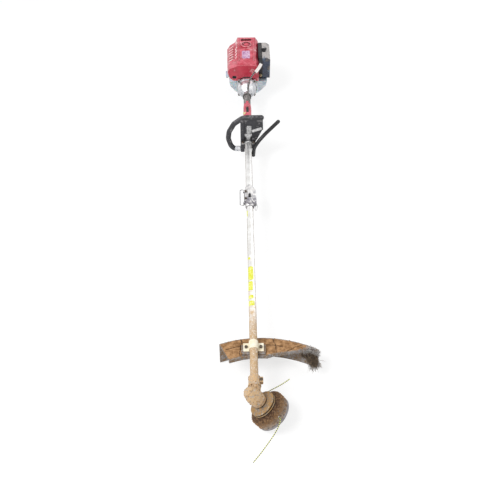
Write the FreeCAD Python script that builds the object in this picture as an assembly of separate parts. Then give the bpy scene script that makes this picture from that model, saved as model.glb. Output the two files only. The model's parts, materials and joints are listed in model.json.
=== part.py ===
import FreeCAD, Part
import math
import os

V = FreeCAD.Vector

# A petrol string trimmer with a two-piece straight tube, lying on its tank guard and
# its shield. Y runs along the tube towards the engine, X to the operator's left,
# Z up. The origin is on the floor, at the middle of the guard's flat foot.

# Clearances
TURN_FIT = 0.05        # radial, where one piece turns or slides in another
SCREW_FIT = 0.15       # radial, round the shank of a screw
GAP = 0.4              # between neighbours that move past each other

# Tube and drive line
AXIS_H = 118.0         # height of the tube and crank axis over the floor
UPPER_D = 28.0
LOWER_D = 25.4
TUBE_WALL = 1.6
UPPER_LEN = 700.0
LOWER_LEN = 823.0
TUBE_SOCKET = 15.0     # how far the tube enters the clutch housing
SHAFT_D = 7.0
BUSH_LEN = 18.0

# Clutch end of the engine
PTO_Y = -135.0         # front face of the fan cover
HOUSING_LEN = 70.0
HOUSING_R = 46.0
FLANGE_R = 50.0
NECK_R = 18.0
CAST_WALL = 3.0
LUG_R = 53.0
DRUM_R = 31.0
DRUM_DEPTH = 20.0
CRANK_R = 7.0
CRANK_BEARING_R = 15.0
DRUM_BOSS_R = 6.0
DRUM_BEARING_R = 13.0

# Engine
FAN_R = 42.0
FAN_COVER_R = 49.0
FAN_COVER_LEN = 44.0
BLOCK_W = 72.0
BLOCK_LEN = 115.0
BLOCK_TOP = 38.0
BLOCK_BOTTOM = -42.0
CYLINDER_Y = -25.0
BARREL_R = 25.0
FIN_W = 84.0
FIN_D = 76.0
FIN_T = 2.0
FIN_PITCH = 9.0
FIN_COUNT = 6
HEAD_H = 16.0
VALVE_COVER_H = 9.0
COVER_WALL = 3.0
COVER_FRONT_H = 111.0
COVER_REAR_H = 141.0
BOSS_Y = 18.0
ARCH_R = 52.0
STARTER_R = 50.0
STARTER_LEN = 50.0

# Tank and foot
TANK_LEN = 107.0
TANK_GAP = 3.0
TANK_WALL = 2.5
TANK_NECK_Y = -10.0
FOOT_W = 84.0
FOOT_L = 54.0
FOOT_Y0 = -10.0
FOOT_T = 8.0

# Air cleaner
CLEANER_X = 57.0
CASE_D = 17.0
CLEANER_D = 38.0
CLEANER_Y0 = -80.0
CLEANER_Y1 = 55.0
CLEANER_H0 = 12.0
CLEANER_H1 = 128.0
CLEANER_WALL = 2.5
FILTER_T = 20.0
CHOKE_H = 60.0
PRIMER_R = 7.7

# Controls and handles
THROTTLE_LEN = 86.0
THROTTLE_R = 18.5
LOCKOUT_PIN_R = 1.2
LOCKOUT_PIN_HALF = 7.4
GRIP_R = 11.0
CABLE_D = 8.0
HANDLE_BACK = 325.0    # handle plane to the clutch housing's neck
CLAMP_LEN = 60.0
BAR_R = 8.0

# Coupler and strap ring
COUPLER_LEN = 113.0
COUPLER_R = 17.5
RING_WIRE = 4.0
RING_LEN = 88.0
RING_REACH = 17.0

# Shield
SHIELD_R = 330.0
SHIELD_DEPTH = 86.0
SHIELD_T = 3.0
SHIELD_TILT = 15.7
SHIELD_LEFT = 23.5
SHIELD_RIGHT = 35.5
CORNER_CUT = [(6, 246), (12, 257), (19.4, 272), (26, 295), (31, 316), (38, 316), (38, 190), (6, 190)]
BRACKET_W = 66.0
BRACKET_L = 30.0

# Gear case and cutting head
CASE_R = 24.0
SLEEVE_R = 18.5
SLEEVE_LEN = 67.0
OUT_R = 5.0
OUT_BEARING_R = 14.0
TOP_BEARING_R = 11.0
PINION_BEARING_R = 11.0
PINION_TEETH = 15
GEAR_TEETH = 21
TOOTH_SLANT = 20.0
TOOTH_FACE = 7.0
HOLDER_R = 43.0
HEAD_R = 59.0
HEAD_WALL = 3.0
HEAD_TOP = 48.0
HEAD_SPLIT = 84.0
HEAD_FLOOR = 98.0
SPOOL_R = 51.0
SPOOL_CORE = 28.0
KNOB_R = 18.0
LINE_D = 2.7
SPRING_R = 14.5
SPRING_WIRE = 2.0
SPRING_COILS = 5

NECK_Y = PTO_Y - HOUSING_LEN
UPPER_Y0 = NECK_Y + TUBE_SOCKET
JOIN_Y = UPPER_Y0 - UPPER_LEN
LOWER_Y1 = JOIN_Y - LOWER_LEN
GEAR_Y = LOWER_Y1 - 37.0
SHIELD_Y = GEAR_Y + 180.0
HANDLE_Y = NECK_Y - HANDLE_BACK
BLOCK_Y0 = PTO_Y + FAN_COVER_LEN
BLOCK_Y1 = BLOCK_Y0 + BLOCK_LEN
STARTER_Y1 = BLOCK_Y1 + STARTER_LEN
THROTTLE_Y1 = NECK_Y - 82.0
THROTTLE_Y0 = THROTTLE_Y1 - THROTTLE_LEN
GEAR_C = V(0, GEAR_Y, AXIS_H)
OUT_AXIS = V(0.624, -0.242, -0.743)
OUT_AXIS.normalize()
EYE_T = 72.0           # the line holes' place along the head's axis
EYE_AXIS = V(0.443, -0.675, 0.591)
EYE_AXIS = (EYE_AXIS - OUT_AXIS * EYE_AXIS.dot(OUT_AXIS)).normalize()
SWEEP_AXIS = OUT_AXIS.cross(EYE_AXIS)


# ---------- shape helpers ----------

def at(x, y, h):
    """A point whose height is measured from the tube's axis."""
    return V(x, y, AXIS_H + h)


def rod(a, b, r):
    return Part.makeCylinder(r, (b - a).Length, a, b - a)


def pipe(a, b, r_out, r_in):
    return rod(a, b, r_out).cut(rod(a, b, r_in))


def block(x0, x1, y0, y1, h0, h1):
    return Part.makeBox(x1 - x0, y1 - y0, h1 - h0, at(x0, y0, h0))


def prism(points, direction):
    """A straight solid from a closed outline of points."""
    return Part.Face(Part.makePolygon(points + points[:1])).extrude(direction)


def turned(profile, origin, axis):
    """A turned solid from (distance along the axis, radius) pairs."""
    points = [V(r, 0, t) for t, r in profile]
    face = Part.Face(Part.makePolygon(points + points[:1]))
    solid = face.revolve(V(0, 0, 0), V(0, 0, 1), 360)
    solid.Placement = FreeCAD.Placement(origin, FreeCAD.Rotation(V(0, 0, 1), axis))
    return solid


def lathe_y(profile):
    """A turned solid about the crank axis, from (Y, radius) pairs."""
    return turned(profile, at(0, 0, 0), V(0, 1, 0))


def lathe_out(profile):
    """A turned solid about the cutting head's axis, from the gear centre."""
    return turned(profile, GEAR_C, OUT_AXIS)


def out_point(t):
    return GEAR_C + OUT_AXIS * t


def fuse(shapes):
    return shapes[0].multiFuse(shapes[1:]).removeSplitter()


def rounded(shape, r, direction):
    """Rounds the straight edges that run along a direction."""
    edges = []
    for edge in shape.Edges:
        if not isinstance(edge.Curve, Part.Line):
            continue
        along = edge.Curve.Direction
        if abs(along.dot(direction)) > 0.999:
            edges.append(edge)
    return shape.makeFillet(r, edges)


def screw(p, into, d, length):
    """A cap screw: p is on the clamped face and into points along the shank."""
    head = rod(p - into * d * 0.8, p, d * 0.85)
    socket = Part.makeCylinder(d * 0.4, d * 0.4, p - into * d * 0.8, into)
    return fuse([head, rod(p, p + into * length, d / 2)]).cut(socket)


def screw_hole(p, into, d, length):
    return rod(p - into * 0.01, p + into * (length + 0.2), d / 2 + SCREW_FIT)


def arc_path(points, bend=None):
    """Straight runs joined by tangent arcs, and the arcs' radii."""
    edges = []
    radii = []
    last = points[0]
    for a, b, c in zip(points, points[1:], points[2:]):
        u = (b - a).normalize()
        w = (c - b).normalize()
        half = u.getAngle(w) / 2
        shorter = min((b - a).Length, (c - b).Length)
        radius = 0.45 * shorter / math.tan(half)
        if bend:
            radius = min(radius, bend)
        cut = radius * math.tan(half)
        p = b - u * cut
        q = b + w * cut
        side = (w - u).normalize()
        middle = b + side * (radius / math.cos(half) - radius)
        edges.append(Part.LineSegment(last, p).toShape())
        edges.append(Part.Arc(p, middle, q).toShape())
        radii.append(round(radius, 1))
        last = q
    edges.append(Part.LineSegment(last, points[-1]).toShape())
    return Part.Wire(edges), radii


def swept(points, r, bend=None, name=None):
    """A round bar or cord along a path, checked against its length."""
    path, radii = arc_path(points, bend)
    start = (points[1] - points[0]).normalize()
    ring = Part.Wire(Part.makeCircle(r, points[0], start))
    solid = path.makePipeShell([ring], True, False)
    if name:
        ratio = solid.Volume / (math.pi * r * r * path.Length)
        print(name, "length", round(path.Length, 1), "radii", radii, "volume ratio", round(ratio, 4))
    return solid


def polar(r, deg):
    """X and height of a point round the crank axis."""
    return r * math.cos(math.radians(deg)), r * math.sin(math.radians(deg))


# ---------- crank train ----------

def crankshaft():
    web_r = 23.0
    shaft = rod(at(0, PTO_Y - 17, 0), at(0, BLOCK_Y1 + 14, 0), CRANK_R)
    web_a = rod(at(0, CYLINDER_Y - 17, 0), at(0, CYLINDER_Y - 7, 0), web_r)
    web_b = rod(at(0, CYLINDER_Y + 7, 0), at(0, CYLINDER_Y + 17, 0), web_r)
    gap = block(-web_r, web_r, CYLINDER_Y - 7, CYLINDER_Y + 7, -web_r, web_r)
    pin = rod(at(0, CYLINDER_Y - 7.5, 13), at(0, CYLINDER_Y + 7.5, 13), 6)
    y0 = BLOCK_Y1 + 3
    cup = lathe_y([(y0, 5), (y0, 28), (y0 + 9, 28), (y0 + 9, 25.5), (y0 + 3, 25.5), (y0 + 3, 5)])
    return fuse([fuse([shaft, web_a, web_b]).cut(gap), pin, cup])


def flywheel():
    y0 = PTO_Y + 8
    disc = lathe_y([(y0 + 15, CRANK_R), (y0 + 15, FAN_R), (y0 + 22, FAN_R), (y0 + 22, CRANK_R)])
    hub = pipe(at(0, PTO_Y - 3, 0), at(0, y0 + 15, 0), 17, CRANK_R)
    blade = block(26, FAN_R - 1, y0 + 3, y0 + 15.5, -1, 1)
    blades = []
    for i in range(14):
        turn = blade.copy()
        turn.rotate(at(0, 0, 0), V(0, 1, 0), i * 360 / 14)
        blades.append(turn)
    return fuse([disc, hub] + blades)


def clutch_shoes():
    """Two shoes, and the garter spring that pulls them in."""
    y0 = PTO_Y - 15
    y1 = PTO_Y - 3
    groove_r = DRUM_R - 9
    ring = pipe(at(0, y0, 0), at(0, y1, 0), DRUM_R - 5, CRANK_R + 0.5)
    slot = block(-60, 60, y0 - 1, y1 + 1, -1.5, 1.5)
    groove = pipe(at(0, y0 + 4, 0), at(0, y1 - 4, 0), 60, groove_r)
    shoes = ring.cut(slot).cut(groove).Solids
    spring = pipe(at(0, y0 + 4.4, 0), at(0, y1 - 4.4, 0), groove_r + 2, groove_r)
    spring = spring.cut(block(0, 60, y0, y1, -2.5, 2.5))
    return Part.Compound(shoes + [spring])


def clutch_drum():
    y0 = PTO_Y - DRUM_DEPTH - 5
    y1 = PTO_Y - 5
    r_in = DRUM_R - 2.5
    cup = [(y1, r_in), (y1, DRUM_R), (y0, DRUM_R), (y0, DRUM_BOSS_R), (y0 - 18, DRUM_BOSS_R),
           (y0 - 18, SHAFT_D / 2), (y0 + 3.5, SHAFT_D / 2), (y0 + 3.5, r_in)]
    return lathe_y(cup)


def clutch_housing():
    y0 = PTO_Y - DRUM_DEPTH - 5
    w = CAST_WALL
    outer = [(PTO_Y, 0), (PTO_Y, FLANGE_R), (PTO_Y - 4, FLANGE_R), (PTO_Y - 4, HOUSING_R),
             (PTO_Y - 30, HOUSING_R - 6), (PTO_Y - 51, NECK_R + 4), (PTO_Y - 55, NECK_R),
             (NECK_Y, NECK_R), (NECK_Y, 0)]
    inner = [(PTO_Y + 1, 0), (PTO_Y + 1, HOUSING_R - w), (PTO_Y - 4, HOUSING_R - w),
             (y0 - 4, HOUSING_R - 5 - w), (y0 - 6, 24), (y0 - 6, DRUM_BEARING_R),
             (y0 - 16, DRUM_BEARING_R),
             (y0 - 16, 8), (UPPER_Y0, 8), (UPPER_Y0, UPPER_D / 2), (NECK_Y - 1, UPPER_D / 2),
             (NECK_Y - 1, 0)]
    body = lathe_y(outer)
    ribs = []
    for i in range(6):
        x, h = polar(1, 60 * i + 30)
        foot = at(0, PTO_Y - 52, 0) + V(x, 0, h) * 12
        rib = prism([foot, foot + V(x, 0, h) * 14, at(0, PTO_Y - 26, 0) + V(x, 0, h) * 43.5,
                     at(0, PTO_Y - 26, 0) + V(x, 0, h) * 12], V(-h, 0, x) * 3)
        rib.translate(V(h, 0, -x) * 1.5)
        ribs.append(rib)
    for deg in (45, 135, 225, 315):
        x, h = polar(LUG_R - 2, deg)
        ribs.append(rod(at(x, PTO_Y - 4, h), at(x, PTO_Y, h), 7))
    body = fuse([body] + ribs).cut(lathe_y(inner))
    slit = block(-1.2, 1.2, NECK_Y - 1, UPPER_Y0 - 2, 0, 60)
    body = body.cut(slit)
    for p in flange_screw_points():
        body = body.cut(screw_hole(p, V(0, 1, 0), 5, 10))
    return body


def flange_screw_points():
    points = []
    for deg in (45, 135, 225, 315):
        x, h = polar(LUG_R, deg)
        points.append(at(x, PTO_Y - 4, h))
    return points


def fan_cover():
    y1 = BLOCK_Y0
    r = FAN_COVER_R
    shell = lathe_y([(PTO_Y, r - CAST_WALL), (PTO_Y, r), (y1, r), (y1, 16), (y1 - 3, 16),
                     (y1 - 3, r - CAST_WALL)])
    lugs = []
    for deg in (45, 135, 225, 315):
        x, h = polar(LUG_R - 2, deg)
        lugs.append(rod(at(x, PTO_Y, h), at(x, PTO_Y + 8, h), 7))
    core = rod(at(0, PTO_Y - 1, 0), at(0, y1 - 3, 0), r - CAST_WALL)
    body = fuse([shell] + [lug.cut(core) for lug in lugs])
    for p in flange_screw_points():
        body = body.cut(screw_hole(p, V(0, 1, 0), 5, 10))
    return body


# ---------- engine block ----------

def crankcase_half():
    half = BLOCK_W / 2
    body = block(-half, half, BLOCK_Y0, BLOCK_Y1, BLOCK_BOTTOM, BLOCK_TOP)
    body = rounded(body, 8, V(0, 1, 0))
    rear_r = STARTER_R - CAST_WALL
    lands = []
    for deg in (20, 160, 200, 340):
        x, h = polar(rear_r + 1.5, deg)
        lands.append(block(min(0, x), max(0, x), BLOCK_Y1 - 8, BLOCK_Y1, h - 5, h + 5))
    neck = rod(at(-half + 2, BLOCK_Y0 + 13, BLOCK_TOP - 8), at(-half - 14, BLOCK_Y0 + 13, BLOCK_TOP - 8), 7)
    body = fuse([body, neck] + lands)
    chamber = rod(at(0, CYLINDER_Y - 20, 0), at(0, CYLINDER_Y + 20, 0), 26)
    bore = rod(at(0, BLOCK_Y0 - 1, 0), at(0, BLOCK_Y1 + 1, 0), CRANK_R + 1)
    body = body.cut(chamber).cut(bore)
    for y in crank_bearing_stations():
        body = body.cut(rod(at(0, y, 0), at(0, y + 10, 0), CRANK_BEARING_R))
    return body


def barrel_and_head():
    half_w = FIN_W / 2
    half_d = FIN_D / 2
    top = BLOCK_TOP + FIN_COUNT * FIN_PITCH
    solids = [rod(at(0, CYLINDER_Y, BLOCK_TOP), at(0, CYLINDER_Y, top), BARREL_R)]
    for i in range(FIN_COUNT):
        h = BLOCK_TOP + 2 + i * FIN_PITCH
        fin = block(-half_w, half_w, CYLINDER_Y - half_d, CYLINDER_Y + half_d, h, h + FIN_T)
        solids.append(rounded(fin, 14, V(0, 0, 1)))
    head = block(-30, 30, CYLINDER_Y - 30, CYLINDER_Y + 30, top, top + HEAD_H)
    solids.append(rounded(head, 6, V(0, 0, 1)))
    solids.append(block(20, 44, CYLINDER_Y - 14, CYLINDER_Y + 14, 50, 74))
    solids.append(block(-44, -20, CYLINDER_Y - 14, CYLINDER_Y + 14, 46, 70))
    body = fuse(solids)
    body = body.cut(rod(at(10, CYLINDER_Y, 62), at(50, CYLINDER_Y, 62), 7))
    body = body.cut(rod(at(-10, CYLINDER_Y, 58), at(-50, CYLINDER_Y, 58), 7))
    body = body.cut(rod(at(0, CYLINDER_Y, BLOCK_TOP - 1), at(0, CYLINDER_Y, top - 2), 19.5))
    p, into = plug_place()
    return body.cut(rod(p, p + into * 22, 5 + SCREW_FIT))


def engine_block():
    """The crankcase, the finned barrel, the head and its rocker cover."""
    return fuse([crankcase_half(), barrel_and_head(), rocker_cover()])


def plug_place():
    """Where the plug's seat lies on the head, and the way it screws in."""
    top = BLOCK_TOP + FIN_COUNT * FIN_PITCH
    return at(0, CYLINDER_Y - 30, top + HEAD_H / 2), V(0, 1, 0)


def rocker_cover():
    top = BLOCK_TOP + FIN_COUNT * FIN_PITCH + HEAD_H
    body = block(-27, 27, CYLINDER_Y - 27, CYLINDER_Y + 27, top, top + VALVE_COVER_H)
    body = rounded(body, 7, V(0, 0, 1))
    core = block(-24, 24, CYLINDER_Y - 24, CYLINDER_Y + 24, top - 1, top + VALVE_COVER_H - 3)
    return body.cut(rounded(core, 5, V(0, 0, 1)))


def spark_plug():
    p, into = plug_place()
    hexagon = rod(p - into * 7, p, 8)
    return fuse([rod(p - into * 21, p - into * 7, 4.5), hexagon, rod(p, p + into * 12, 5)])


def ignition_coil():
    """The coil with its lead and plug cap, which come as one piece."""
    p, into = plug_place()
    y0 = BLOCK_Y0 + 3
    top = BLOCK_TOP + 24
    coil = rounded(block(-17, 17, y0, y0 + 20, BLOCK_TOP, top), 3, V(0, 0, 1))
    cap = rod(p - into * 28, p - into * 8, 8)
    points = [p - into * 18 + V(6, 0, 0), p - into * 18 + V(18, 0, 0), p - into * 16 + V(22, 0, -12),
              V(12, y0 + 10, AXIS_H + top + 10), V(8, y0 + 10, AXIS_H + top - 2)]
    lead = swept(points, 2.5)
    return fuse([coil, cap, lead]).cut(rod(p - into * 21, p - into * 7, 4.5 + SCREW_FIT))


def muffler():
    h0 = 34.0
    box = rounded(block(-84, -44, CYLINDER_Y - 36, CYLINDER_Y + 34, h0, h0 + 50), 8, V(0, 1, 0))
    core = block(-82.5, -45.5, CYLINDER_Y - 34.5, CYLINDER_Y + 32.5, h0 + 1.5, h0 + 48.5)
    core = rounded(core, 6.5, V(0, 1, 0))
    outlet = rod(at(-64, CYLINDER_Y - 38, h0 + 14), at(-64, CYLINDER_Y - 46, h0 + 14), 7)
    hole = rod(at(-64, CYLINDER_Y - 30, h0 + 14), at(-64, CYLINDER_Y - 50, h0 + 14), 5.5)
    stub = rod(at(-64, CYLINDER_Y - 34, h0 + 14), at(-64, CYLINDER_Y - 38, h0 + 14), 7)
    port = rod(at(-40, CYLINDER_Y, 58), at(-60, CYLINDER_Y, 58), 7)
    return fuse([box, outlet, stub]).cut(core).cut(hole).cut(port)


def cover_section(outline, y, inset):
    """The top cover's outline at a station, shrunk by its wall and open below."""
    i = inset
    inward = [(2 * i, -1), (i, i / 2), (i, -i / 4), (0.7 * i, -0.75 * i), (0.7 * i, -0.75 * i),
              (i / 2, -i), (-i / 2, -i), (-i, -0.4 * i), (-i, -1)]
    if not i:
        inward = [(0, 0)] * len(outline)
    pts = [at(x + dx, y, h + dh) for (x, h), (dx, dh) in zip(outline, inward)]
    return Part.makePolygon(pts + pts[:1])


def cover_solid(inset):
    """Three stations lie along the cover; its lower corner is tucked in at the front."""
    y0 = cover_y0()
    top_0 = COVER_FRONT_H
    top_1 = COVER_FRONT_H + 7
    top_2 = COVER_REAR_H
    front = [(-62, 31), (-82, 50), (-89, 79), (-80, 96), (-52, 105), (-44, top_0), (44, top_0),
             (57, 98), (57, 28)]
    mid = [(-84, 28), (-91, 40), (-91, 79), (-80, 97), (-52, 107), (-44, top_1), (44, top_1),
           (57, 104), (57, 28)]
    rear = [(-86, 28), (-93, 40), (-93, 77), (-79, 99), (-52, 117), (-42, top_2), (44, top_2),
            (57, 121), (57, 28)]
    stations = [(front, y0 + inset), (mid, y0 + 48), (rear, STARTER_Y1 - inset)]
    return Part.makeLoft([cover_section(outline, y, inset) for outline, y in stations], True, True)


def cover_y0():
    return PTO_Y + 10.0


def top_cover():
    y0 = cover_y0()
    y1 = STARTER_Y1
    w = COVER_WALL
    inside = cover_solid(w)
    body = cover_solid(0).cut(inside)
    boss = at(0, BOSS_Y, COVER_REAR_H - 3)
    ring = rod(boss - V(0, 0, 15), boss, 25).cut(rod(boss - V(0, 0, 3), boss + V(0, 0, 9), 21))
    ribs = [ring.cut(inside)]
    for x in (-38, 32):
        rib = prism([at(x, y0 + 34, 112), at(x, y1 - 8, 132), at(x, y1 - 8, COVER_REAR_H + 2),
                     at(x, y0 + 34, COVER_FRONT_H + 8)], V(6, 0, 0))
        ribs.append(rib.cut(inside))
    body = fuse([body] + ribs)
    body = body.cut(rod(at(0, y0 - 5, 0), at(0, y1 + 5, 0), ARCH_R))
    body = body.cut(block(-40, 40, y0 - 5, y1 + 5, 20, 34))
    for i in range(5):
        y = -62 + i * 21
        corners = [at(-84, y, 60), at(-58, y + 8, 60), at(-58, y + 15, 60), at(-84, y + 7, 60)]
        slot = prism(corners, V(0, 0, 120))
        body = body.cut(slot)
    body = body.cut(rounded(block(-68, -48, y0 - 5, y0 + w + 3, 41, 57), 7, V(0, 1, 0)))
    body = body.cut(rounded(block(-26, 26, y1 - 24, y1 - 10, 120, 150), 6, V(0, 0, 1)))
    body = body.cut(block(50, 62, CLEANER_Y0 + 14, CLEANER_Y1 - 14, 34, 96))
    return body


def carburettor():
    body = rounded(block(44, CLEANER_X, CYLINDER_Y - 18, CYLINDER_Y + 18, 44, 82), 3, V(1, 0, 0))
    boss = rod(at(50, CYLINDER_Y - 26, 70), at(50, CYLINDER_Y - 18, 70), 4)
    body = fuse([body, boss])
    body = body.cut(rod(at(40, CYLINDER_Y, 62), at(60, CYLINDER_Y, 62), 6))
    return body.cut(rod(at(50, CYLINDER_Y - 27, 70), at(50, CYLINDER_Y - 12, 70), 2 + TURN_FIT))


def carb_lever():
    y = CYLINDER_Y - 26
    arm = rounded(block(47.5, 52.5, y - 2.4, y - GAP, 60.5, 73.5), 2, V(0, 1, 0))
    return fuse([arm, rod(at(50, y - 1, 70), at(50, CYLINDER_Y - 13, 70), 2)])


def air_cleaner_case():
    x0 = CLEANER_X
    x1 = x0 + CASE_D
    body = rounded(block(x0, x1, CLEANER_Y0, CLEANER_Y1, CLEANER_H0, CLEANER_H1), 10, V(1, 0, 0))
    core = block(x0 + 4, x1 + 1, CLEANER_Y0 + 4, CLEANER_Y1 - 4, CLEANER_H0 + 4, CLEANER_H1 - 4)
    core = rounded(core, 7, V(1, 0, 0))
    body = body.cut(core)
    body = body.cut(rod(at(x0 - 1, CYLINDER_Y, 62), at(x0 + 6, CYLINDER_Y, 62), 7))
    p = primer_place()
    boss = pipe(p - V(0, 5, 0), p, PRIMER_R + 2, PRIMER_R + 0.3)
    pivot = rod(at(x0 + 8, CLEANER_Y0 - 6, CHOKE_H), at(x0 + 8, CLEANER_Y0 + 4, CHOKE_H), 3)
    return fuse([body, boss, pivot])


def air_cleaner_cover():
    x0 = CLEANER_X + CASE_D + GAP
    x1 = CLEANER_X + CASE_D + CLEANER_D
    w = CLEANER_WALL
    body = rounded(block(x0, x1, CLEANER_Y0, CLEANER_Y1, CLEANER_H0, CLEANER_H1), 10, V(1, 0, 0))
    slope = prism([at(x1 - 22, CLEANER_Y0 - 1, CLEANER_H1 + 1), at(x1 + 1, CLEANER_Y0 - 1, CLEANER_H1 + 1),
                   at(x1 + 1, CLEANER_Y0 - 1, CLEANER_H1 - 16)], V(0, CLEANER_Y1 - CLEANER_Y0 + 2, 0))
    core = block(x0 - 1, x1 - w, CLEANER_Y0 + w, CLEANER_Y1 - w, CLEANER_H0 + w, CLEANER_H1 - w)
    core = rounded(core, 8, V(1, 0, 0))
    slope_in = slope.copy()
    slope_in.translate(V(-w, 0, -w))
    body = body.cut(slope).cut(core.cut(slope_in))
    p = latch_place()
    return body.cut(rod(p - V(0, 0, 12), p + V(0, 0, 1), 3 + SCREW_FIT))


def latch_place():
    """Where the cover's knob stands on its top wall."""
    return at(CLEANER_X + CASE_D + 9, -28, CLEANER_H1)


def air_cover_knob():
    p = latch_place()
    grip = rod(p, p + V(0, 0, 8), 10)
    bar = rounded(block(p.x - 13, p.x + 13, p.y - 4, p.y + 4, 0, 6), 3, V(0, 0, 1))
    bar.translate(V(0, 0, p.z + 8 - AXIS_H))
    return fuse([grip, bar, rod(p - V(0, 0, CLEANER_WALL + 4), p, 3)])


def air_filter():
    x0 = CLEANER_X + 4.3
    body = block(x0, x0 + FILTER_T, CLEANER_Y0 + 8, CLEANER_Y1 - 8, CLEANER_H0 + 12, CLEANER_H1 - 18)
    return rounded(body, 6, V(1, 0, 0))


def primer_place():
    """Where the primer's ring stands on the front of the air cleaner's case."""
    return at(CLEANER_X + PRIMER_R + 2.2, CLEANER_Y0, 34)


def primer_bulb():
    """The soft fuel pump bulb, with room to be pressed in."""
    p = primer_place()
    neck = rod(p - V(0, 5, 0), p - V(0, 3.6, 0), PRIMER_R)
    dome = Part.makeSphere(PRIMER_R, p - V(0, 5, 0)).cut(rod(p - V(0, 5, 0), p + V(0, 9, 0), PRIMER_R + 1))
    return fuse([neck, dome])


def choke_lever():
    y = CLEANER_Y0
    x = CLEANER_X + 8
    h = CHOKE_H
    arm = prism([at(x - 4, y - 0.5, h - 4), at(x + 5, y - 0.5, h - 4), at(x + 4, y - 0.5, h + 22),
                 at(x - 1, y - 0.5, h + 24)], V(0, -4, 0))
    hub = rod(at(x, y - 0.5, h), at(x, y - 6, h), 7)
    tip = rod(at(x + 1.5, y - 0.5, h + 21), at(x + 1.5, y - 10, h + 21), 4)
    return fuse([arm, hub, tip]).cut(rod(at(x, y - 9, h), at(x, y + 1, h), 3 + TURN_FIT))


def oil_cap():
    x = -BLOCK_W / 2 - 14
    y = BLOCK_Y0 + 13
    cap = rod(at(x, y, BLOCK_TOP - 8), at(x - 9, y, BLOCK_TOP - 8), 9)
    bar = block(x - 14, x - 9, y - 7, y + 7, BLOCK_TOP - 10, BLOCK_TOP - 6)
    return fuse([cap, bar])


# ---------- recoil starter ----------

def starter_cover():
    r = STARTER_R
    y0 = BLOCK_Y1
    y1 = STARTER_Y1
    w = CAST_WALL
    shell = lathe_y([(y0, r - w), (y0, r), (y1 - 6, r), (y1, r - 8), (y1, 0), (y1 - w, 0), (y1 - w, r - 9),
                     (y1 - 6, r - w)])
    post = rod(at(0, y1 - 32, 0), at(0, y1 - w + 0.5, 0), 6)
    body = fuse([shell, post])
    for i in range(9):
        slot = block(14, 40, y1 - w - 1, y1 + 1, -2, 2)
        slot.rotate(at(0, 0, 0), V(0, 1, 0), i * 40 + 10)
        body = body.cut(slot)
    guide = rod(at(-r + 6, y0 + 25, 0), at(-r - 7, y0 + 25, 0), 6)
    cavity = rod(at(0, y0 + 5, 0), at(0, y1 - 8, 0), r - w)
    body = body.fuse(guide.cut(cavity))
    return body.cut(rod(at(-r + 12, y0 + 25, 0), at(-r - 9, y0 + 25, 0), 2.6))


def starter_pulley():
    y0 = BLOCK_Y1 + 20
    bore = 6 + TURN_FIT
    return lathe_y([(y0, bore), (y0, 34), (y0 + 2, 34), (y0 + 3, 30), (y0 + 7, 30), (y0 + 8, 34), (y0 + 10, 34),
                    (y0 + 10, bore)])


def recoil_spring():
    """A flat spiral of half turns that grow by a fixed step."""
    y0 = STARTER_Y1 - CAST_WALL - 7.3
    step = 1.5
    strip = 0.8
    turns = []
    for i in range(16):
        centre = at(step / 2 if i % 2 else -step / 2, y0, 0)
        r = 9 + step * i
        ring = pipe(centre, centre + V(0, 7, 0), r + strip / 2, r - strip / 2)
        half = block(-60, 60, y0 - 1, y0 + 8, 0, 60) if i % 2 else block(-60, 60, y0 - 1, y0 + 8, -60, 0)
        turns.append(ring.common(half))
    return fuse(turns)


def starter_rope():
    y = BLOCK_Y1 + 25
    return rod(at(-32, y, 0), at(-STARTER_R - 9, y, 0), 1.8)


def starter_grip():
    x = -STARTER_R - 8
    y = BLOCK_Y1 + 25
    bar = rod(at(x - 14, y, -30), at(x - 14, y, 22), 8.5)
    neck = rod(at(x, y, 0), at(x - 12, y, 0), 5)
    body = fuse([bar, neck])
    return body.cut(rod(at(x + 1, y, 0), at(x - 1.5, y, 0), 2))


# ---------- tank, guard and fuel ----------

def fuel_tank():
    """A blown shell: two lobes and a bridge that pass round the crankcase."""
    half = BLOCK_W / 2
    outline = [(-84, 18), (-81, -30), (-58, -75), (-40, -100), (48, -100), (70, -75), (95, -30), (98, 6),
               (half + TANK_GAP, 6), (half + TANK_GAP, BLOCK_BOTTOM - TANK_GAP),
               (-half - TANK_GAP, BLOCK_BOTTOM - TANK_GAP), (-half - TANK_GAP, 18)]
    neck = rod(at(-76, TANK_NECK_Y, -8), at(-90, TANK_NECK_Y, -8), 13)
    body = tank_solid(outline, 0).fuse(neck).cut(tank_solid(outline, TANK_WALL))
    return body.cut(rod(at(-70, TANK_NECK_Y, -8), at(-91, TANK_NECK_Y, -8), 10))


def tank_solid(outline, inset):
    """The tank's outer form, or its inside when it is shrunk by the wall."""
    y0 = BLOCK_Y0 - 2
    points = [at(x, y0 + inset, h) for x, h in outline]
    ring = Part.makePolygon(points + points[:1])
    if inset:
        ring = ring.makeOffset2D(-inset, 2)
    body = Part.Face(ring).extrude(V(0, TANK_LEN - 2 * inset, 0))
    rake = prism([at(-120, y0 - 1, 10), at(-120, y0 - 1, -130), at(-120, y0 + 72, -130)], V(240, 0, 0))
    rake.translate(V(0, inset * 1.13, 0))
    nose = rod(at(0, PTO_Y - 10, 0), at(0, BLOCK_Y0 + 0.5 + inset, 0), ARCH_R + 1 + inset)
    return body.cut(rake).cut(nose)


def fuel_cap():
    p = at(-90, TANK_NECK_Y, -8)
    cap = rod(p, p - V(11, 0, 0), 17)
    body = fuse([cap, rod(p + V(9, 0, 0), p, 10 - 0.3)])
    for i in range(12):
        x, h = polar(17.5, i * 30)
        groove = rod(at(-102, TANK_NECK_Y + x, -8 + h), at(-92, TANK_NECK_Y + x, -8 + h), 1.8)
        body = body.cut(groove)
    return body


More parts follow.
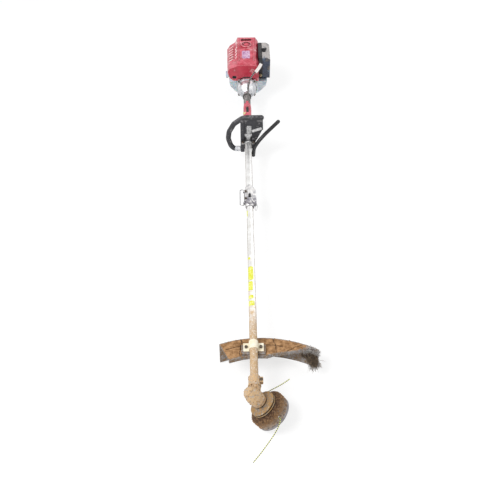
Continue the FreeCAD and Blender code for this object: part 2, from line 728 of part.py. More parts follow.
def tank_guard():
    half = FOOT_W / 2
    y0 = FOOT_Y0
    y1 = FOOT_Y0 + FOOT_L
    floor = -AXIS_H
    top = -100.0
    plate = rounded(block(-half, half, y0, y1, floor, floor + FOOT_T), 12, V(0, 0, 1))
    rear = block(-34, 34, BLOCK_Y1 + 4, BLOCK_Y1 + 8, floor + 2, BLOCK_BOTTOM - 11)
    bars = [plate, rear]
    for x in (-34, 26):
        bars.append(block(x, x + 8, y0 + 4, y1 - 8, floor + 2, top))
    body = fuse(bars)
    return body


# ---------- tube, shaft and bushes ----------

def upper_tube():
    return pipe(at(0, JOIN_Y, 0), at(0, UPPER_Y0, 0), UPPER_D / 2, UPPER_D / 2 - TUBE_WALL)


def lower_tube():
    return pipe(at(0, LOWER_Y1, 0), at(0, JOIN_Y, 0), LOWER_D / 2, LOWER_D / 2 - TUBE_WALL)


def drum_shaft_end():
    return PTO_Y - DRUM_DEPTH - 5 - 2


def drive_shaft():
    rod_a = rod(at(0, JOIN_Y + 12, 0), at(0, drum_shaft_end(), 0), SHAFT_D / 2)
    socket = rod(at(0, JOIN_Y - 14, 0), at(0, JOIN_Y + 12, 0), SHAFT_D / 2 + 2)
    upper = fuse([rod_a, socket]).cut(rod(at(0, JOIN_Y - 15, 0), at(0, JOIN_Y + 8, 0), SHAFT_D / 2))
    lower = rod(at(0, GEAR_Y + 10.4, 0), at(0, JOIN_Y + 7, 0), SHAFT_D / 2)
    return Part.Compound([upper, lower])


def bearings_and_bushes():
    """Ball bearings of the crank, drum and gear case, and the bushes in the tubes."""
    rings = []
    for y in crank_bearing_stations():
        rings.append(pipe(at(0, y, 0), at(0, y + 10, 0), CRANK_BEARING_R, CRANK_R + TURN_FIT))
    y0 = PTO_Y - DRUM_DEPTH - 5
    rings.append(pipe(at(0, y0 - 16, 0), at(0, y0 - 8, 0), DRUM_BEARING_R, DRUM_BOSS_R + TURN_FIT))
    shaft = OUT_R + TURN_FIT
    rings.append(lathe_out([(16, shaft), (16, OUT_BEARING_R), (25, OUT_BEARING_R), (25, shaft)]))
    rings.append(lathe_out([(-24, shaft), (-24, TOP_BEARING_R), (-16, TOP_BEARING_R), (-16, shaft)]))
    rings.append(pipe(at(0, GEAR_Y + 25, 0), at(0, GEAR_Y + 33, 0), PINION_BEARING_R, SHAFT_D / 2 + TURN_FIT))
    for top, length, tube_d in ((UPPER_Y0, UPPER_LEN, UPPER_D), (JOIN_Y, LOWER_LEN, LOWER_D)):
        for i in range(4):
            y = top - 60 - i * (length - 120) / 3
            outer = tube_d / 2 - TUBE_WALL
            rings.append(pipe(at(0, y, 0), at(0, y + BUSH_LEN, 0), outer, SHAFT_D / 2 + TURN_FIT))
    return Part.Compound(rings)


def crank_bearing_stations():
    return (BLOCK_Y0 + 16, BLOCK_Y1 - 22)


def tube_sleeve():
    """A ribbed rubber sleeve between the clutch housing and the throttle."""
    y1 = NECK_Y - 1
    y0 = THROTTLE_Y1 + 12
    profile = [(y0, UPPER_D / 2), (y0, UPPER_D / 2 + 1)]
    count = 8
    step = (y1 - 11 - y0) / count
    for i in range(count):
        profile.append((y0 + (i + 0.15) * step, UPPER_D / 2 + 1.9))
        profile.append((y0 + (i + 0.7) * step, UPPER_D / 2 + 1.9))
        profile.append((y0 + (i + 0.85) * step, UPPER_D / 2 + 1))
    profile.append((y1 - 10, UPPER_D / 2 + 1))
    profile += [(y1 - 10, NECK_R + 2), (y1, NECK_R + 2)]
    profile.append((y1, UPPER_D / 2))
    return lathe_y(profile)


# ---------- throttle control ----------

def throttle_shape():
    """The throttle housing's outside, with a tapered nose."""
    r = THROTTLE_R
    y0 = THROTTLE_Y0
    y1 = THROTTLE_Y1
    body = lathe_y([(y0, 0), (y0, r - 2), (y0 + 3, r), (y1 - 16, r), (y1 + 8, UPPER_D / 2 + 2.5), (y1 + 10, 0)])
    keel = prism([at(-9, y0 + 8, 0), at(-9, y0 + 8, -30), at(-9, y0 + 16, -36), at(-9, y1 - 22, -30),
                  at(-9, y1 - 4, 0)], V(18, 0, 0))
    return body.fuse(keel)


def throttle_upper():
    upper = throttle_shape().common(block(-60, 60, THROTTLE_Y0 - 20, THROTTLE_Y1 + 20, 0, 60))
    nose = rounded(block(-6.5, 6.5, THROTTLE_Y1 - 24, THROTTLE_Y1 + 11, 10, UPPER_D / 2 + 9), 3, V(0, 1, 0))
    body = upper.fuse(nose).cut(tube_core())
    body = body.cut(block(-5.2, 5.2, THROTTLE_Y0 + 18, THROTTLE_Y0 + 52, UPPER_D / 2 - 1, 60))
    p = lockout_pivot()
    reach = V(LOCKOUT_PIN_HALF + 0.2, 0, 0)
    body = body.cut(rod(p - reach, p + reach, LOCKOUT_PIN_R + TURN_FIT))
    return body.cut(switch_pocket(0.3)).removeSplitter()


def throttle_lower():
    lower = throttle_shape().common(block(-60, 60, THROTTLE_Y0 - 20, THROTTLE_Y1 + 20, -60, 0))
    body = lower.cut(tube_core())
    pocket = block(-5.5, 5.5, THROTTLE_Y0 + 12, THROTTLE_Y1 - 16, -60, -UPPER_D / 2 - 2)
    body = body.cut(pocket)
    p = trigger_pivot()
    body = body.cut(rod(p + V(-20, 0, 0), p + V(20, 0, 0), 1.5 + TURN_FIT))
    return body.removeSplitter()


def tube_core():
    return rod(at(0, THROTTLE_Y0 - 30, 0), at(0, THROTTLE_Y1 + 30, 0), UPPER_D / 2)


def trigger_pivot():
    return at(0, THROTTLE_Y1 - 24, -UPPER_D / 2 - 8)


def throttle_trigger():
    p = trigger_pivot()
    y = p.y
    h = p.z - AXIS_H
    blade = prism([at(-4.8, y + 4, h - 4), at(-4.8, y + 2, h + 3.5), at(-4.8, y - 30, h - 6),
                   at(-4.8, y - 42, h - 18), at(-4.8, y - 40, h - 30), at(-4.8, y - 24, h - 22),
                   at(-4.8, y - 8, h - 16)], V(9.6, 0, 0))
    return blade.fuse(rod(p + V(-8.8, 0, 0), p + V(8.8, 0, 0), 1.5)).removeSplitter()


def lockout_pivot():
    return at(0, THROTTLE_Y0 + 23, UPPER_D / 2 + 1.6)


def lockout_lever():
    p = lockout_pivot()
    y = p.y
    r = UPPER_D / 2
    blade = prism([at(-4.8, y - 2, r + 1), at(-4.8, y - 2, r + 4), at(-4.8, y + 6, r + 10),
                   at(-4.8, y + 24, r + 12), at(-4.8, y + 28, r + 6), at(-4.8, y + 14, r + 4.5),
                   at(-4.8, y + 4, r + 1)], V(9.6, 0, 0))
    reach = V(LOCKOUT_PIN_HALF, 0, 0)
    return fuse([blade, rod(p - reach, p + reach, LOCKOUT_PIN_R)])


def switch_pocket(extra):
    y = THROTTLE_Y0 + 24
    return block(-22, -15.2 + extra, y - 4.5 - extra, y + 8.5 + extra, 4.5 - extra, 11.5 + extra)


def stop_switch():
    y = THROTTLE_Y0 + 24
    body = block(-19.5, -15.4, y - 4, y + 4, 5, 11)
    return body


# The cable's route, from the air cleaner's case over the clutch housing to the throttle
CABLE_PATH = [(66, -80, 112), (66, -98, 112), (63, -121, 112), (50, -134, 98), (31, -141, 77), (17, -149, 58),
              (10, -164, 46), (7, -184, 34), (6, -206, 26.5), (5, -232, 22), (5, -254, 20.4), (5, -276, 20.4)]


def throttle_cable():
    """The corrugated sleeve of the throttle cable and the switch leads."""
    return swept([at(*p) for p in CABLE_PATH], CABLE_D / 2, name="throttle_cable")


# ---------- loop handle ----------

HAND_PATH = [(56, 116), (-22, 116), (-60, 86), (-82, 44), (-86, 8), (-76, -28), (-62, -47), (-34, -47)]


def loop_handle():
    y = HANDLE_Y
    points = [at(x, y, h) for x, h in HAND_PATH]
    grip = swept(points, GRIP_R, bend=38, name="loop grip")
    leg = rounded(block(-33, -UPPER_D / 2 - 1, y - 14, y + 14, -56, 110), 6, V(0, 0, 1))
    panel = prism([at(-20, y - 9, 60), at(-20, y - 9, 112), at(62, y - 9, 112), at(64, y - 9, 60),
                   at(16, y - 9, 38), at(-20, y - 9, 38)], V(0, 18, 0))
    web = prism([at(16, y - 6, 44), at(62, y - 6, 60), at(40, y - 6, 10), at(22, y - 6, -22),
                 at(16, y - 6, -22)], V(0, 12, 0))
    end = Part.makeSphere(GRIP_R, at(56, y, 116))
    side = rounded(block(16, 32, y - CLAMP_LEN / 2, y + CLAMP_LEN / 2, -24, 14), 5, V(0, 1, 0))
    base = rounded(block(-33, 32, y - CLAMP_LEN / 2, y + CLAMP_LEN / 2, -24, -2), 5, V(0, 1, 0))
    body = fuse([grip, leg, panel, end, side, base, web])
    body = body.cut(rod(at(0, y - 60, 0), at(0, y + 60, 0), UPPER_D / 2))
    body = body.cut(block(-UPPER_D / 2, UPPER_D / 2, y - 60, y + 60, -2, 37.9))
    cut = block(-34, 34, y - CLAMP_LEN / 2 - 1, y - 14.2, -1.6, 40)
    body = body.cut(cut)
    cut = block(-34, 34, y + 14.2, y + CLAMP_LEN / 2 + 1, -1.6, 40)
    body = body.cut(cut)
    for p in handle_bolt_points():
        body = body.cut(screw_hole(p, V(0, 0, -1), 6, 22))
    return body.cut(bar_hole())


def handle_clamp():
    """The pressed steel cap that holds the handle down on the tube."""
    y = HANDLE_Y
    half = CLAMP_LEN / 2
    r = UPPER_D / 2
    arch = pipe(at(0, y - half, 0), at(0, y + half, 0), r + 3, r)
    arch = arch.cut(block(-60, 60, y - 80, y + 80, -60, 0))
    ears = []
    for s in (-1, 1):
        for y0, y1 in ((y - half, y - 14.6), (y + 14.6, y + half)):
            x0, x1 = sorted((s * (r + 1), s * 29))
            ears.append(block(x0, x1, y0, y1, 0, 3))
    body = fuse([arch] + ears)
    body = body.cut(rod(at(0, y - 80, 0), at(0, y + 80, 0), r))
    body = body.cut(block(-60, -r - 0.8, y - 14.6, y + 14.6, -1, 60))
    body = body.cut(block(r + 0.8, 60, y - 14.6, y + 14.6, -1, 60))
    for p in handle_bolt_points():
        body = body.cut(screw_hole(p, V(0, 0, -1), 6, 22))
    return body.cut(bar_hole())


def handle_bolt_points():
    y = HANDLE_Y
    off = CLAMP_LEN / 4 + 7
    points = []
    for x in (-23.5, 23.5):
        points.append(at(x, y - off, 3))
        points.append(at(x, y + off, 3))
    return points


BAR_PATH = [(20.5, -92, -11), (25, -44, -9), (43, -17, 2), (73, 0, 30), (128, 4, 92)]


def bar_points():
    return [at(x, HANDLE_Y + dy, h) for x, dy, h in BAR_PATH]


def barrier_bar():
    body = swept(bar_points(), BAR_R, bend=90, name="barrier bar")
    return body.fuse(Part.makeSphere(BAR_R, bar_points()[-1]))


def bar_hole():
    return swept(bar_points(), BAR_R + 0.02, bend=90)


# ---------- coupler ----------

def coupler_body():
    y0 = JOIN_Y - COUPLER_LEN / 2
    y1 = JOIN_Y + COUPLER_LEN / 2
    r = COUPLER_R
    shell = lathe_y([(y0, 0), (y0, r - 3), (y0 + 4, r), (y1 - 4, r), (y1, r - 2), (y1, 0)])
    rail = block(-7, 7, y0 + 6, y1 - 6, 5, r + 5)
    ears = []
    for y in ring_ears():
        ears.append(rod(at(ring_x(), y - 4, 0), at(ring_x(), y + 4, 0), 5.2))
        ears.append(block(ring_x(), -r + 6, y - 3.8, y + 3.8, -4.8, 4.8))
    clamp = rounded(block(-r - 2, -8, y0 + 24, y1 - 24, 8, r - 3), 2.5, V(0, 1, 0))
    pad = rounded(block(8, r + 9, y0 + 16, y1 - 16, -9, 9), 4, V(0, 1, 0))
    body = fuse([shell, rail, clamp, pad] + ears)
    body = body.cut(rod(at(0, JOIN_Y, 0), at(0, y1 + 1, 0), UPPER_D / 2))
    body = body.cut(rod(at(0, y0 - 1, 0), at(0, JOIN_Y, 0), LOWER_D / 2))
    for y in ring_ears():
        body = body.cut(rod(at(ring_x(), y - 5, 0), at(ring_x(), y + 5, 0), RING_WIRE / 2 + TURN_FIT))
    for p in coupler_bolt_points():
        body = body.cut(screw_hole(p, V(0, 0, -1), 5, 8))
    return body.cut(lock_hole())


def ring_x():
    return -COUPLER_R - 3.2


def ring_ears():
    return (JOIN_Y - RING_LEN / 2 + 12, JOIN_Y + RING_LEN / 2 - 12)


def coupler_bolt_points():
    return [at(-15.6, JOIN_Y - 20, COUPLER_R - 3), at(-15.6, JOIN_Y + 20, COUPLER_R - 3)]


def lock_hole():
    return rounded(block(-4.5, 4.5, JOIN_Y - 22, JOIN_Y - 2, LOWER_D / 2 - 4, 60), 4, V(0, 0, 1))


def lock_button():
    body = block(-4.2, 4.2, JOIN_Y - 21.7, JOIN_Y - 2.3, LOWER_D / 2 + 3.5, COUPLER_R + 8)
    return rounded(body, 3.8, V(0, 0, 1))


def strap_ring():
    """A bent wire ring that hangs in the coupler's two ears."""
    x0 = ring_x()
    x1 = x0 - RING_REACH
    y0 = JOIN_Y - RING_LEN / 2
    y1 = JOIN_Y + RING_LEN / 2
    middle = at(x0, JOIN_Y, 0)
    points = [middle, at(x0, y1, 0), at(x1, y1, 0), at(x1, y0, 0), at(x0, y0, 0), middle]
    first = swept([points[0], points[1], points[2], (points[2] + points[3]) * 0.5], RING_WIRE / 2, bend=7)
    second = swept([(points[2] + points[3]) * 0.5, points[3], points[4], points[5]], RING_WIRE / 2, bend=7)
    return fuse([first, second])


# ---------- shield ----------

def shield_frame(shape):
    """Moves a shape from the shield's own arc frame to its place."""
    tilt = math.radians(SHIELD_TILT)
    rear = at(20, SHIELD_Y + 54, -40)
    centre = rear - V(0, math.cos(tilt), -math.sin(tilt)) * SHIELD_R
    shape.Placement = FreeCAD.Placement(centre, FreeCAD.Rotation(V(1, 0, 0), -SHIELD_TILT))
    return shape


def skirt_len():
    return (AXIS_H - 40) / math.cos(math.radians(SHIELD_TILT)) - 0.9


def arc_band(r_out, r_in, z0, z1, left=None, right=None):
    """A slice of a ring between the shield's two end angles."""
    a = SHIELD_LEFT if left is None else left
    b = SHIELD_RIGHT if right is None else right
    ring = Part.makeCylinder(r_out, z1 - z0, V(0, 0, z0), V(0, 0, 1), a + b)
    ring = ring.cut(Part.makeCylinder(r_in, z1 - z0 + 2, V(0, 0, z0 - 1)))
    ring.rotate(V(0, 0, 0), V(0, 0, 1), 90 - b)
    return ring


def shield_polar(deg, r, z):
    """A point of the plate, so many degrees to the right of its middle."""
    a = math.radians(90 - deg)
    return V(r * math.cos(a), r * math.sin(a), z)


def shield():
    """A curved plate with a skirt; its inner edge runs out to the skirt towards the right end."""
    inner = SHIELD_R - SHIELD_DEPTH
    plate = arc_band(SHIELD_R, inner, -SHIELD_T, 0)
    skirt = arc_band(SHIELD_R, SHIELD_R - SHIELD_T, -skirt_len(), -1)
    lip = arc_band(inner + 6, inner, -SHIELD_T - 8, 1.5)
    rib_a = arc_band(SHIELD_R - 26, SHIELD_R - 29, -1, 2.5, left=SHIELD_LEFT - 1, right=-6)
    rib_b = arc_band(SHIELD_R - 26, SHIELD_R - 29, -1, 2.5, left=-7, right=SHIELD_RIGHT - 1)
    pad = Part.makeBox(BRACKET_W + 12, BRACKET_L + 10, 10, V(-20 - BRACKET_W / 2 - 6, inner + 4, -1))
    pad = rounded(pad, 4, V(0, 0, 1))
    edge = prism([shield_polar(deg, r, -12) for deg, r in CORNER_CUT], V(0, 0, 18))
    rim = prism([shield_polar(deg, r + 5, -9) for deg, r in CORNER_CUT], V(0, 0, 10.5))
    rim = rim.common(arc_band(SHIELD_R, inner, -9, 1.5))
    body = fuse([plate, lip, rib_a, rib_b, rim]).cut(edge)
    body = fuse([body, skirt, pad])
    body = shield_frame(body)
    saddle = block(-BRACKET_W / 2 - 20, BRACKET_W / 2 + 20, SHIELD_Y - 60, SHIELD_Y + 60, -LOWER_D / 2, 60)
    body = body.cut(saddle)
    for p in shield_bolt_points():
        body = body.cut(screw_hole(p, V(0, 0, -1), 6, 24))
    for p, into in cutter_screw_points():
        body = body.cut(screw_hole(p, into, 5, 10))
    return body


def shield_bracket():
    """The steel strap and its ears that clamp the shield under the tube."""
    r = LOWER_D / 2
    y0 = SHIELD_Y - BRACKET_L / 2
    y1 = SHIELD_Y + BRACKET_L / 2
    half = BRACKET_W / 2
    arch = pipe(at(0, y0, 0), at(0, y1, 0), r + 2.5, r)
    arch = arch.cut(block(-60, 60, y0 - 1, y1 + 1, -60, 0))
    walls = [arch]
    for s in (-1, 1):
        x0, x1 = sorted((s * r, s * (r + 2.5)))
        walls.append(block(x0, x1, y0, y1, -r, 0))
        x0, x1 = sorted((s * r, s * half))
        walls.append(block(x0, x1, y0, y1, -r, -r + 3))
    body = fuse(walls).cut(rod(at(0, y0 - 1, 0), at(0, y1 + 1, 0), r))
    for p in shield_bolt_points():
        body = body.cut(screw_hole(p, V(0, 0, -1), 6, 24))
    return body


def shield_bolt_points():
    x = LOWER_D / 4 + BRACKET_W / 4 + 1
    return [at(-x, SHIELD_Y, -LOWER_D / 2 + 3), at(x, SHIELD_Y, -LOWER_D / 2 + 3)]


def cutter_frame(x, y, z):
    """A point given in the frame of the skirt's right end."""
    deg = math.radians(90 - SHIELD_RIGHT + 5)
    tilt = FreeCAD.Rotation(V(1, 0, 0), -SHIELD_TILT)
    rear = at(20, SHIELD_Y + 54, -40)
    centre = rear - tilt.multVec(V(0, 1, 0)) * SHIELD_R
    out = V(math.cos(deg), math.sin(deg), 0)
    along = V(-math.sin(deg), math.cos(deg), 0)
    return centre + tilt.multVec(out * (SHIELD_R + y) + along * x + V(0, 0, z))


def cutter_screw_points():
    points = []
    for x in (-7.4, 8.0):
        p = cutter_frame(x, -SHIELD_T - 2 - 0.6, -40)
        q = cutter_frame(x, 10, -40)
        points.append((p, (q - p).normalize()))
    return points


def line_cutter():
    """The bent blade inside the skirt that trims the line to length."""
    t = 2.0
    y = -SHIELD_T - 0.6
    corners = [(-14, -30), (14, -30), (14, -52), (-14, -52)]
    leaf = prism([cutter_frame(x, y, z) for x, z in corners], cutter_frame(0, y - t, 0) - cutter_frame(0, y, 0))
    edge = prism([cutter_frame(-14, y, -30), cutter_frame(-14, y, -52), cutter_frame(-14, y - 24, -52),
                  cutter_frame(-14, y - 24, -38)], cutter_frame(-12, 0, 0) - cutter_frame(-14, 0, 0))
    body = fuse([leaf, edge])
    for p, into in cutter_screw_points():
        body = body.cut(screw_hole(p, into, 5, 10))
    return body


# ---------- gear case ----------

def bevel_angles():
    """Pitch cone angles of the pinion and the gear, in radians."""
    shaft_angle = math.acos(OUT_AXIS.y)
    ratio = GEAR_TEETH / PINION_TEETH
    first = math.atan(math.sin(shaft_angle) / (ratio + math.cos(shaft_angle)))
    return first, shaft_angle - first


def bevel(angle, teeth, origin, axis, back, hub_r, bore):
    """A bevel gear whose pitch cone has its point at the origin."""
    outer = TOOTH_SLANT
    inner = TOOTH_SLANT - TOOTH_FACE
    shift = 0.35
    r0 = inner * math.sin(angle)
    t0 = inner * math.cos(angle) + shift
    r1 = outer * math.sin(angle)
    t1 = outer * math.cos(angle) + shift
    blank = turned([(t0, bore), (t0, r0), (t1, r1), (t1 + 3, r1), (t1 + 3, hub_r), (back, hub_r), (back, bore)],
                   V(0, 0, 0), V(0, 0, 1))
    depth = 1.6
    cuts = []
    for i in range(teeth):
        notch = Part.makeBox(1.5, 2 * depth, TOOTH_FACE + 2, V(-0.75, -depth, inner - 1))
        notch.rotate(V(0, 0, 0), V(1, 0, 0), -math.degrees(angle))
        notch.translate(V(0, 0, shift))
        notch.rotate(V(0, 0, 0), V(0, 0, 1), i * 360 / teeth)
        cuts.append(notch)
    blank = blank.cut(Part.Compound(cuts))
    blank.Placement = FreeCAD.Placement(origin, FreeCAD.Rotation(V(0, 0, 1), axis))
    return blank


def bevel_pinion():
    return bevel(bevel_angles()[0], PINION_TEETH, GEAR_C, V(0, 1, 0), 24.0, 7, SHAFT_D / 2)


def output_shaft():
    """The head's shaft with its bevel gear."""
    gear = bevel(bevel_angles()[1], GEAR_TEETH, GEAR_C, OUT_AXIS, 15.4, 9, OUT_R - 0.5)
    return fuse([rod(out_point(-26), out_point(HEAD_TOP + 12), OUT_R), gear])


def gear_case():
    clamp_y = GEAR_Y + SLEEVE_LEN - 12
    solids = [rod(at(0, GEAR_Y - 6, 0), at(0, GEAR_Y + SLEEVE_LEN, 0), SLEEVE_R),
              lathe_out([(-39, 0), (-39, 5), (-37.5, 11), (-34, 15.5), (-30, 16.5), (-30, 19), (-24, 21),
                         (-12, CASE_R), (14, CASE_R), (27, 21), (27, 0)]),
              Part.makeSphere(CASE_R + 1, GEAR_C),
              rounded(block(8, 27, clamp_y - 9, clamp_y + 9, -8, 8), 4, V(0, 1, 0)),
              rod(at(0, GEAR_Y + 34, 0), at(0, GEAR_Y + 38, 0), SLEEVE_R + 2)]
    for deg in (60, 120, 180):
        x, h = polar(1, deg)
        rib = prism([at(14 * x, GEAR_Y, 14 * h), at(24 * x, GEAR_Y + 4, 24 * h),
                     at(20.5 * x, GEAR_Y + 36, 20.5 * h), at(14 * x, GEAR_Y + 36, 14 * h)], V(-h, 0, x) * 3)
        solids.append(rib)
    body = fuse(solids)
    body = body.cut(lathe_out([(-9, 0), (-9, 19.5), (15.7, 19.5),
                               (15.7, OUT_BEARING_R), (25, OUT_BEARING_R), (25, 9), (29, 9), (29, 0)]))
    body = body.cut(lathe_out([(-28, 0), (-28, TOP_BEARING_R), (-8, TOP_BEARING_R), (-8, 0)]))
    body = body.cut(lathe_y([(GEAR_Y, 0), (GEAR_Y, 14), (GEAR_Y + 24, 14), (GEAR_Y + 24, PINION_BEARING_R),
                             (GEAR_Y + 33, PINION_BEARING_R),
                             (GEAR_Y + 33, 9), (LOWER_Y1, 9), (LOWER_Y1, LOWER_D / 2),
                             (GEAR_Y + SLEEVE_LEN + 1, LOWER_D / 2), (GEAR_Y + SLEEVE_LEN + 1, 0)]))
    body = body.cut(block(10, 40, clamp_y - 13, clamp_y + 14, -1, 1))
    p, into = case_bolt_place()
    return body.cut(screw_hole(p, into, 5, 15))


def case_bolt_place():
    return at(21.5, GEAR_Y + SLEEVE_LEN - 12, 8), V(0, 0, -1)


def cap_screws():
    """Every cap screw: clutch housing, handle, coupler, shield, cutter and gear case."""
    screws = [screw(p, V(0, 1, 0), 5, 10) for p in flange_screw_points()]
    screws += [screw(p, V(0, 0, -1), 6, 22) for p in handle_bolt_points()]
    screws += [screw(p, V(0, 0, -1), 5, 8) for p in coupler_bolt_points()]
    screws += [screw(p, V(0, 0, -1), 6, 14) for p in shield_bolt_points()]
    screws += [screw(p, into, 5, 9) for p, into in cutter_screw_points()]
    p, into = case_bolt_place()
    screws.append(screw(p, into, 5, 15))
    return Part.Compound(screws)


# ---------- cutting head ----------

def head_holder():
    r = HOLDER_R
    return lathe_out([(28, OUT_R), (28, 11), (31, 15), (33, r - 2), (34, r), (36.5, r), (37.5, r - 5),
                      (41, r - 5), (42, r), (45, r), (46, 22), (47, 15), (47, OUT_R)])


def head_housing():
    w = HEAD_WALL
    r = HEAD_R
    body = lathe_out([(47, OUT_R), (47, 12), (HEAD_TOP, 14), (HEAD_TOP, 44), (HEAD_TOP + 4, 54),
                      (HEAD_TOP + 10, r), (HEAD_SPLIT, r), (HEAD_SPLIT, r - w), (HEAD_TOP + 11, r - w),
                      (HEAD_TOP + 5, 52), (HEAD_TOP + 4, 44), (HEAD_TOP + 4, 9), (HEAD_TOP + 9, 9),
                      (HEAD_TOP + 9, OUT_R)])
    slots = []
    for i in range(8):
        slot = turned([(HEAD_TOP - 1, 24), (HEAD_TOP - 1, 38), (HEAD_TOP + 5, 38), (HEAD_TOP + 5, 24)],
                      V(0, 0, 0), V(0, 0, 1))
        slot = slot.common(Part.makeBox(60, 11, 200, V(0, -5.5, 0)))
        slot.rotate(V(0, 0, 0), V(0, 0, 1), i * 45)
        slots.append(slot)
    slots = Part.Compound(slots)
    slots.Placement = FreeCAD.Placement(GEAR_C, FreeCAD.Rotation(V(0, 0, 1), OUT_AXIS))
    body = body.cut(slots)
    for s in (-1, 1):
        a = out_point(EYE_T)
        body = body.cut(rod(a + EYE_AXIS * s * 50, a + EYE_AXIS * s * 70, LINE_D / 2 + 0.4))
    return body


def line_point(side, out, along):
    """A point in the cutting plane, out from the axis and along the sweep."""
    return out_point(EYE_T) + EYE_AXIS * side * out + SWEEP_AXIS * side * along


def head_cover():
    r = HEAD_R
    w = HEAD_WALL
    body = lathe_out([(HEAD_SPLIT, r - w), (HEAD_SPLIT, r), (HEAD_FLOOR - 6, r), (HEAD_FLOOR, r - 7),
                      (HEAD_FLOOR, KNOB_R + 1), (HEAD_FLOOR - w, KNOB_R + 1), (HEAD_FLOOR - w, r - 9),
                      (HEAD_FLOOR - 7, r - w)])
    return body


def spool_body():
    t0 = HEAD_TOP + 13
    t1 = HEAD_FLOOR - 8
    c = SPOOL_CORE
    return lathe_out([(t0, 20), (t0, SPOOL_R), (t0 + 2, SPOOL_R), (t0 + 2, c), (t1 - 3, c), (t1 - 3, SPOOL_R),
                      (t1, SPOOL_R), (t1, 0), (t0 + 16, 0), (t0 + 16, 20)])


def wound_line():
    t0 = HEAD_TOP + 15
    t1 = HEAD_FLOOR - 11
    pitch = LINE_D
    count = int((t1 - t0) / pitch)
    profile = [(t0, SPOOL_CORE)]
    r = 44.0
    for i in range(count):
        a = t0 + i * pitch
        profile += [(a, r - 0.8), (a + 0.7, r), (a + pitch - 0.7, r)]
    profile += [(t0 + count * pitch, r - 0.8), (t1, r - 0.8), (t1, SPOOL_CORE)]
    return lathe_out(profile)


def spool():
    """The spool and the line that is wound on it."""
    return Part.Compound([spool_body(), wound_line()])


def bump_knob():
    t1 = HEAD_FLOOR - 8
    k = KNOB_R
    body = lathe_out([(t1, 0), (t1, k), (t1 + 18, k), (t1 + 22, k - 3), (t1 + 24, k - 8), (t1 + 24, 0)])
    return body


def head_spring():
    """A compression spring between the housing's roof and the spool."""
    t0 = HEAD_TOP + 4 + 0.3 + SPRING_WIRE / 2
    t1 = HEAD_TOP + 29 - 0.3 - SPRING_WIRE / 2
    steps = 8
    count = SPRING_COILS * steps
    points = []
    for i in range(count + 1):
        angle = 2 * math.pi * i / steps
        points.append(V(SPRING_R * math.cos(angle), SPRING_R * math.sin(angle), t0 + (t1 - t0) * i / count))
    coil = swept(points, SPRING_WIRE / 2)
    coil.Placement = FreeCAD.Placement(GEAR_C, FreeCAD.Rotation(V(0, 0, 1), OUT_AXIS))
    return coil


# Each trimmer line's route in the cutting plane: out from the axis, and along the sweep
LINE_A = [(56, 0), (67, 0), (75.5, 6), (79, 18), (76, 31), (66, 45), (54, 60), (40, 77), (27, 95), (17, 114)]
LINE_B = [(56, 0), (66, 0), (75, 7), (83, 21), (89, 40), (92, 62), (93, 88), (94, 116), (92, 146)]


def trimmer_line_a():
    return swept([line_point(-1, out, along) for out, along in LINE_A], LINE_D / 2, name="trimmer_line_a")


def trimmer_line_b():
    return swept([line_point(1, out, along) for out, along in LINE_B], LINE_D / 2, name="trimmer_line_b")


# ---------- build ----------

MAKERS = [
    crankshaft, flywheel, clutch_shoes, clutch_drum, clutch_housing, fan_cover, engine_block,
    spark_plug, ignition_coil, muffler, top_cover, carburettor, carb_lever, air_cleaner_case,
    air_cleaner_cover, air_cover_knob, air_filter, primer_bulb, choke_lever, oil_cap, starter_cover,
    starter_pulley, recoil_spring, starter_rope, starter_grip, fuel_tank, fuel_cap, tank_guard,
    upper_tube, lower_tube, drive_shaft, bearings_and_bushes, tube_sleeve, throttle_upper,
    throttle_lower, throttle_trigger, lockout_lever, stop_switch, throttle_cable, loop_handle,
    handle_clamp, barrier_bar, coupler_body, lock_button, strap_ring, shield, shield_bracket,
    line_cutter, gear_case, bevel_pinion, output_shaft, head_holder, head_housing, head_cover, spool,
    bump_knob, head_spring, trimmer_line_a, trimmer_line_b, cap_screws,
]

os.makedirs("parts", exist_ok=True)
for maker in MAKERS:
    name = maker.__name__
    shape = maker()
    if not shape.isValid() or not shape.Solids:
        print("CHECK", name, shape.isValid(), len(shape.Solids))
    shape.exportStep("parts/" + name + ".step")
    print(name, len(shape.Solids), round(shape.Volume / 1000, 2), "cm3")
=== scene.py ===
import json
import math
import random

import bmesh
import bpy
import numpy as np
from mathutils import Euler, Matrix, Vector, noise


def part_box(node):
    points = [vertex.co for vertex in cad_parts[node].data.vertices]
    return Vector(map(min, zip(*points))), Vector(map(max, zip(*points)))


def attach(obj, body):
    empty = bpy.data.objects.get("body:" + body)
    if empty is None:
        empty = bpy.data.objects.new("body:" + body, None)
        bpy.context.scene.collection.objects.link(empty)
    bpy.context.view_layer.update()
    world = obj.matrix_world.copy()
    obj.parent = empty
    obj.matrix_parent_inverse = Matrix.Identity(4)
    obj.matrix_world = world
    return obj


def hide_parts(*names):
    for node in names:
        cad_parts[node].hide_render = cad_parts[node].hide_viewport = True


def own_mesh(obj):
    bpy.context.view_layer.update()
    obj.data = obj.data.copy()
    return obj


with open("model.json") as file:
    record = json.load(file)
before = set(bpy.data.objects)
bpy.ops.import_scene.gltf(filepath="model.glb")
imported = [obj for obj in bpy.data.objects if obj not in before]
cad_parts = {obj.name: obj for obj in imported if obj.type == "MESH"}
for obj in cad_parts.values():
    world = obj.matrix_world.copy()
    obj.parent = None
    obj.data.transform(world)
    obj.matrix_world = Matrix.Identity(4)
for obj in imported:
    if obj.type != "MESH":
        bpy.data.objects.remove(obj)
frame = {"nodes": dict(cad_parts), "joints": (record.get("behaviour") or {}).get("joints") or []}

# A petrol string trimmer that lies on its tank guard and its shield. The engine is at +Y,
# the cutting head at -Y, and the operator's left is +X.

# A new file's own cube, camera and lamp are cleared away first.
for name in ("Cube", "Camera", "Light"):
    if name in bpy.data.objects:
        bpy.data.objects.remove(bpy.data.objects[name])
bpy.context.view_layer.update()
MM = 0.001


# ---------- camera ----------

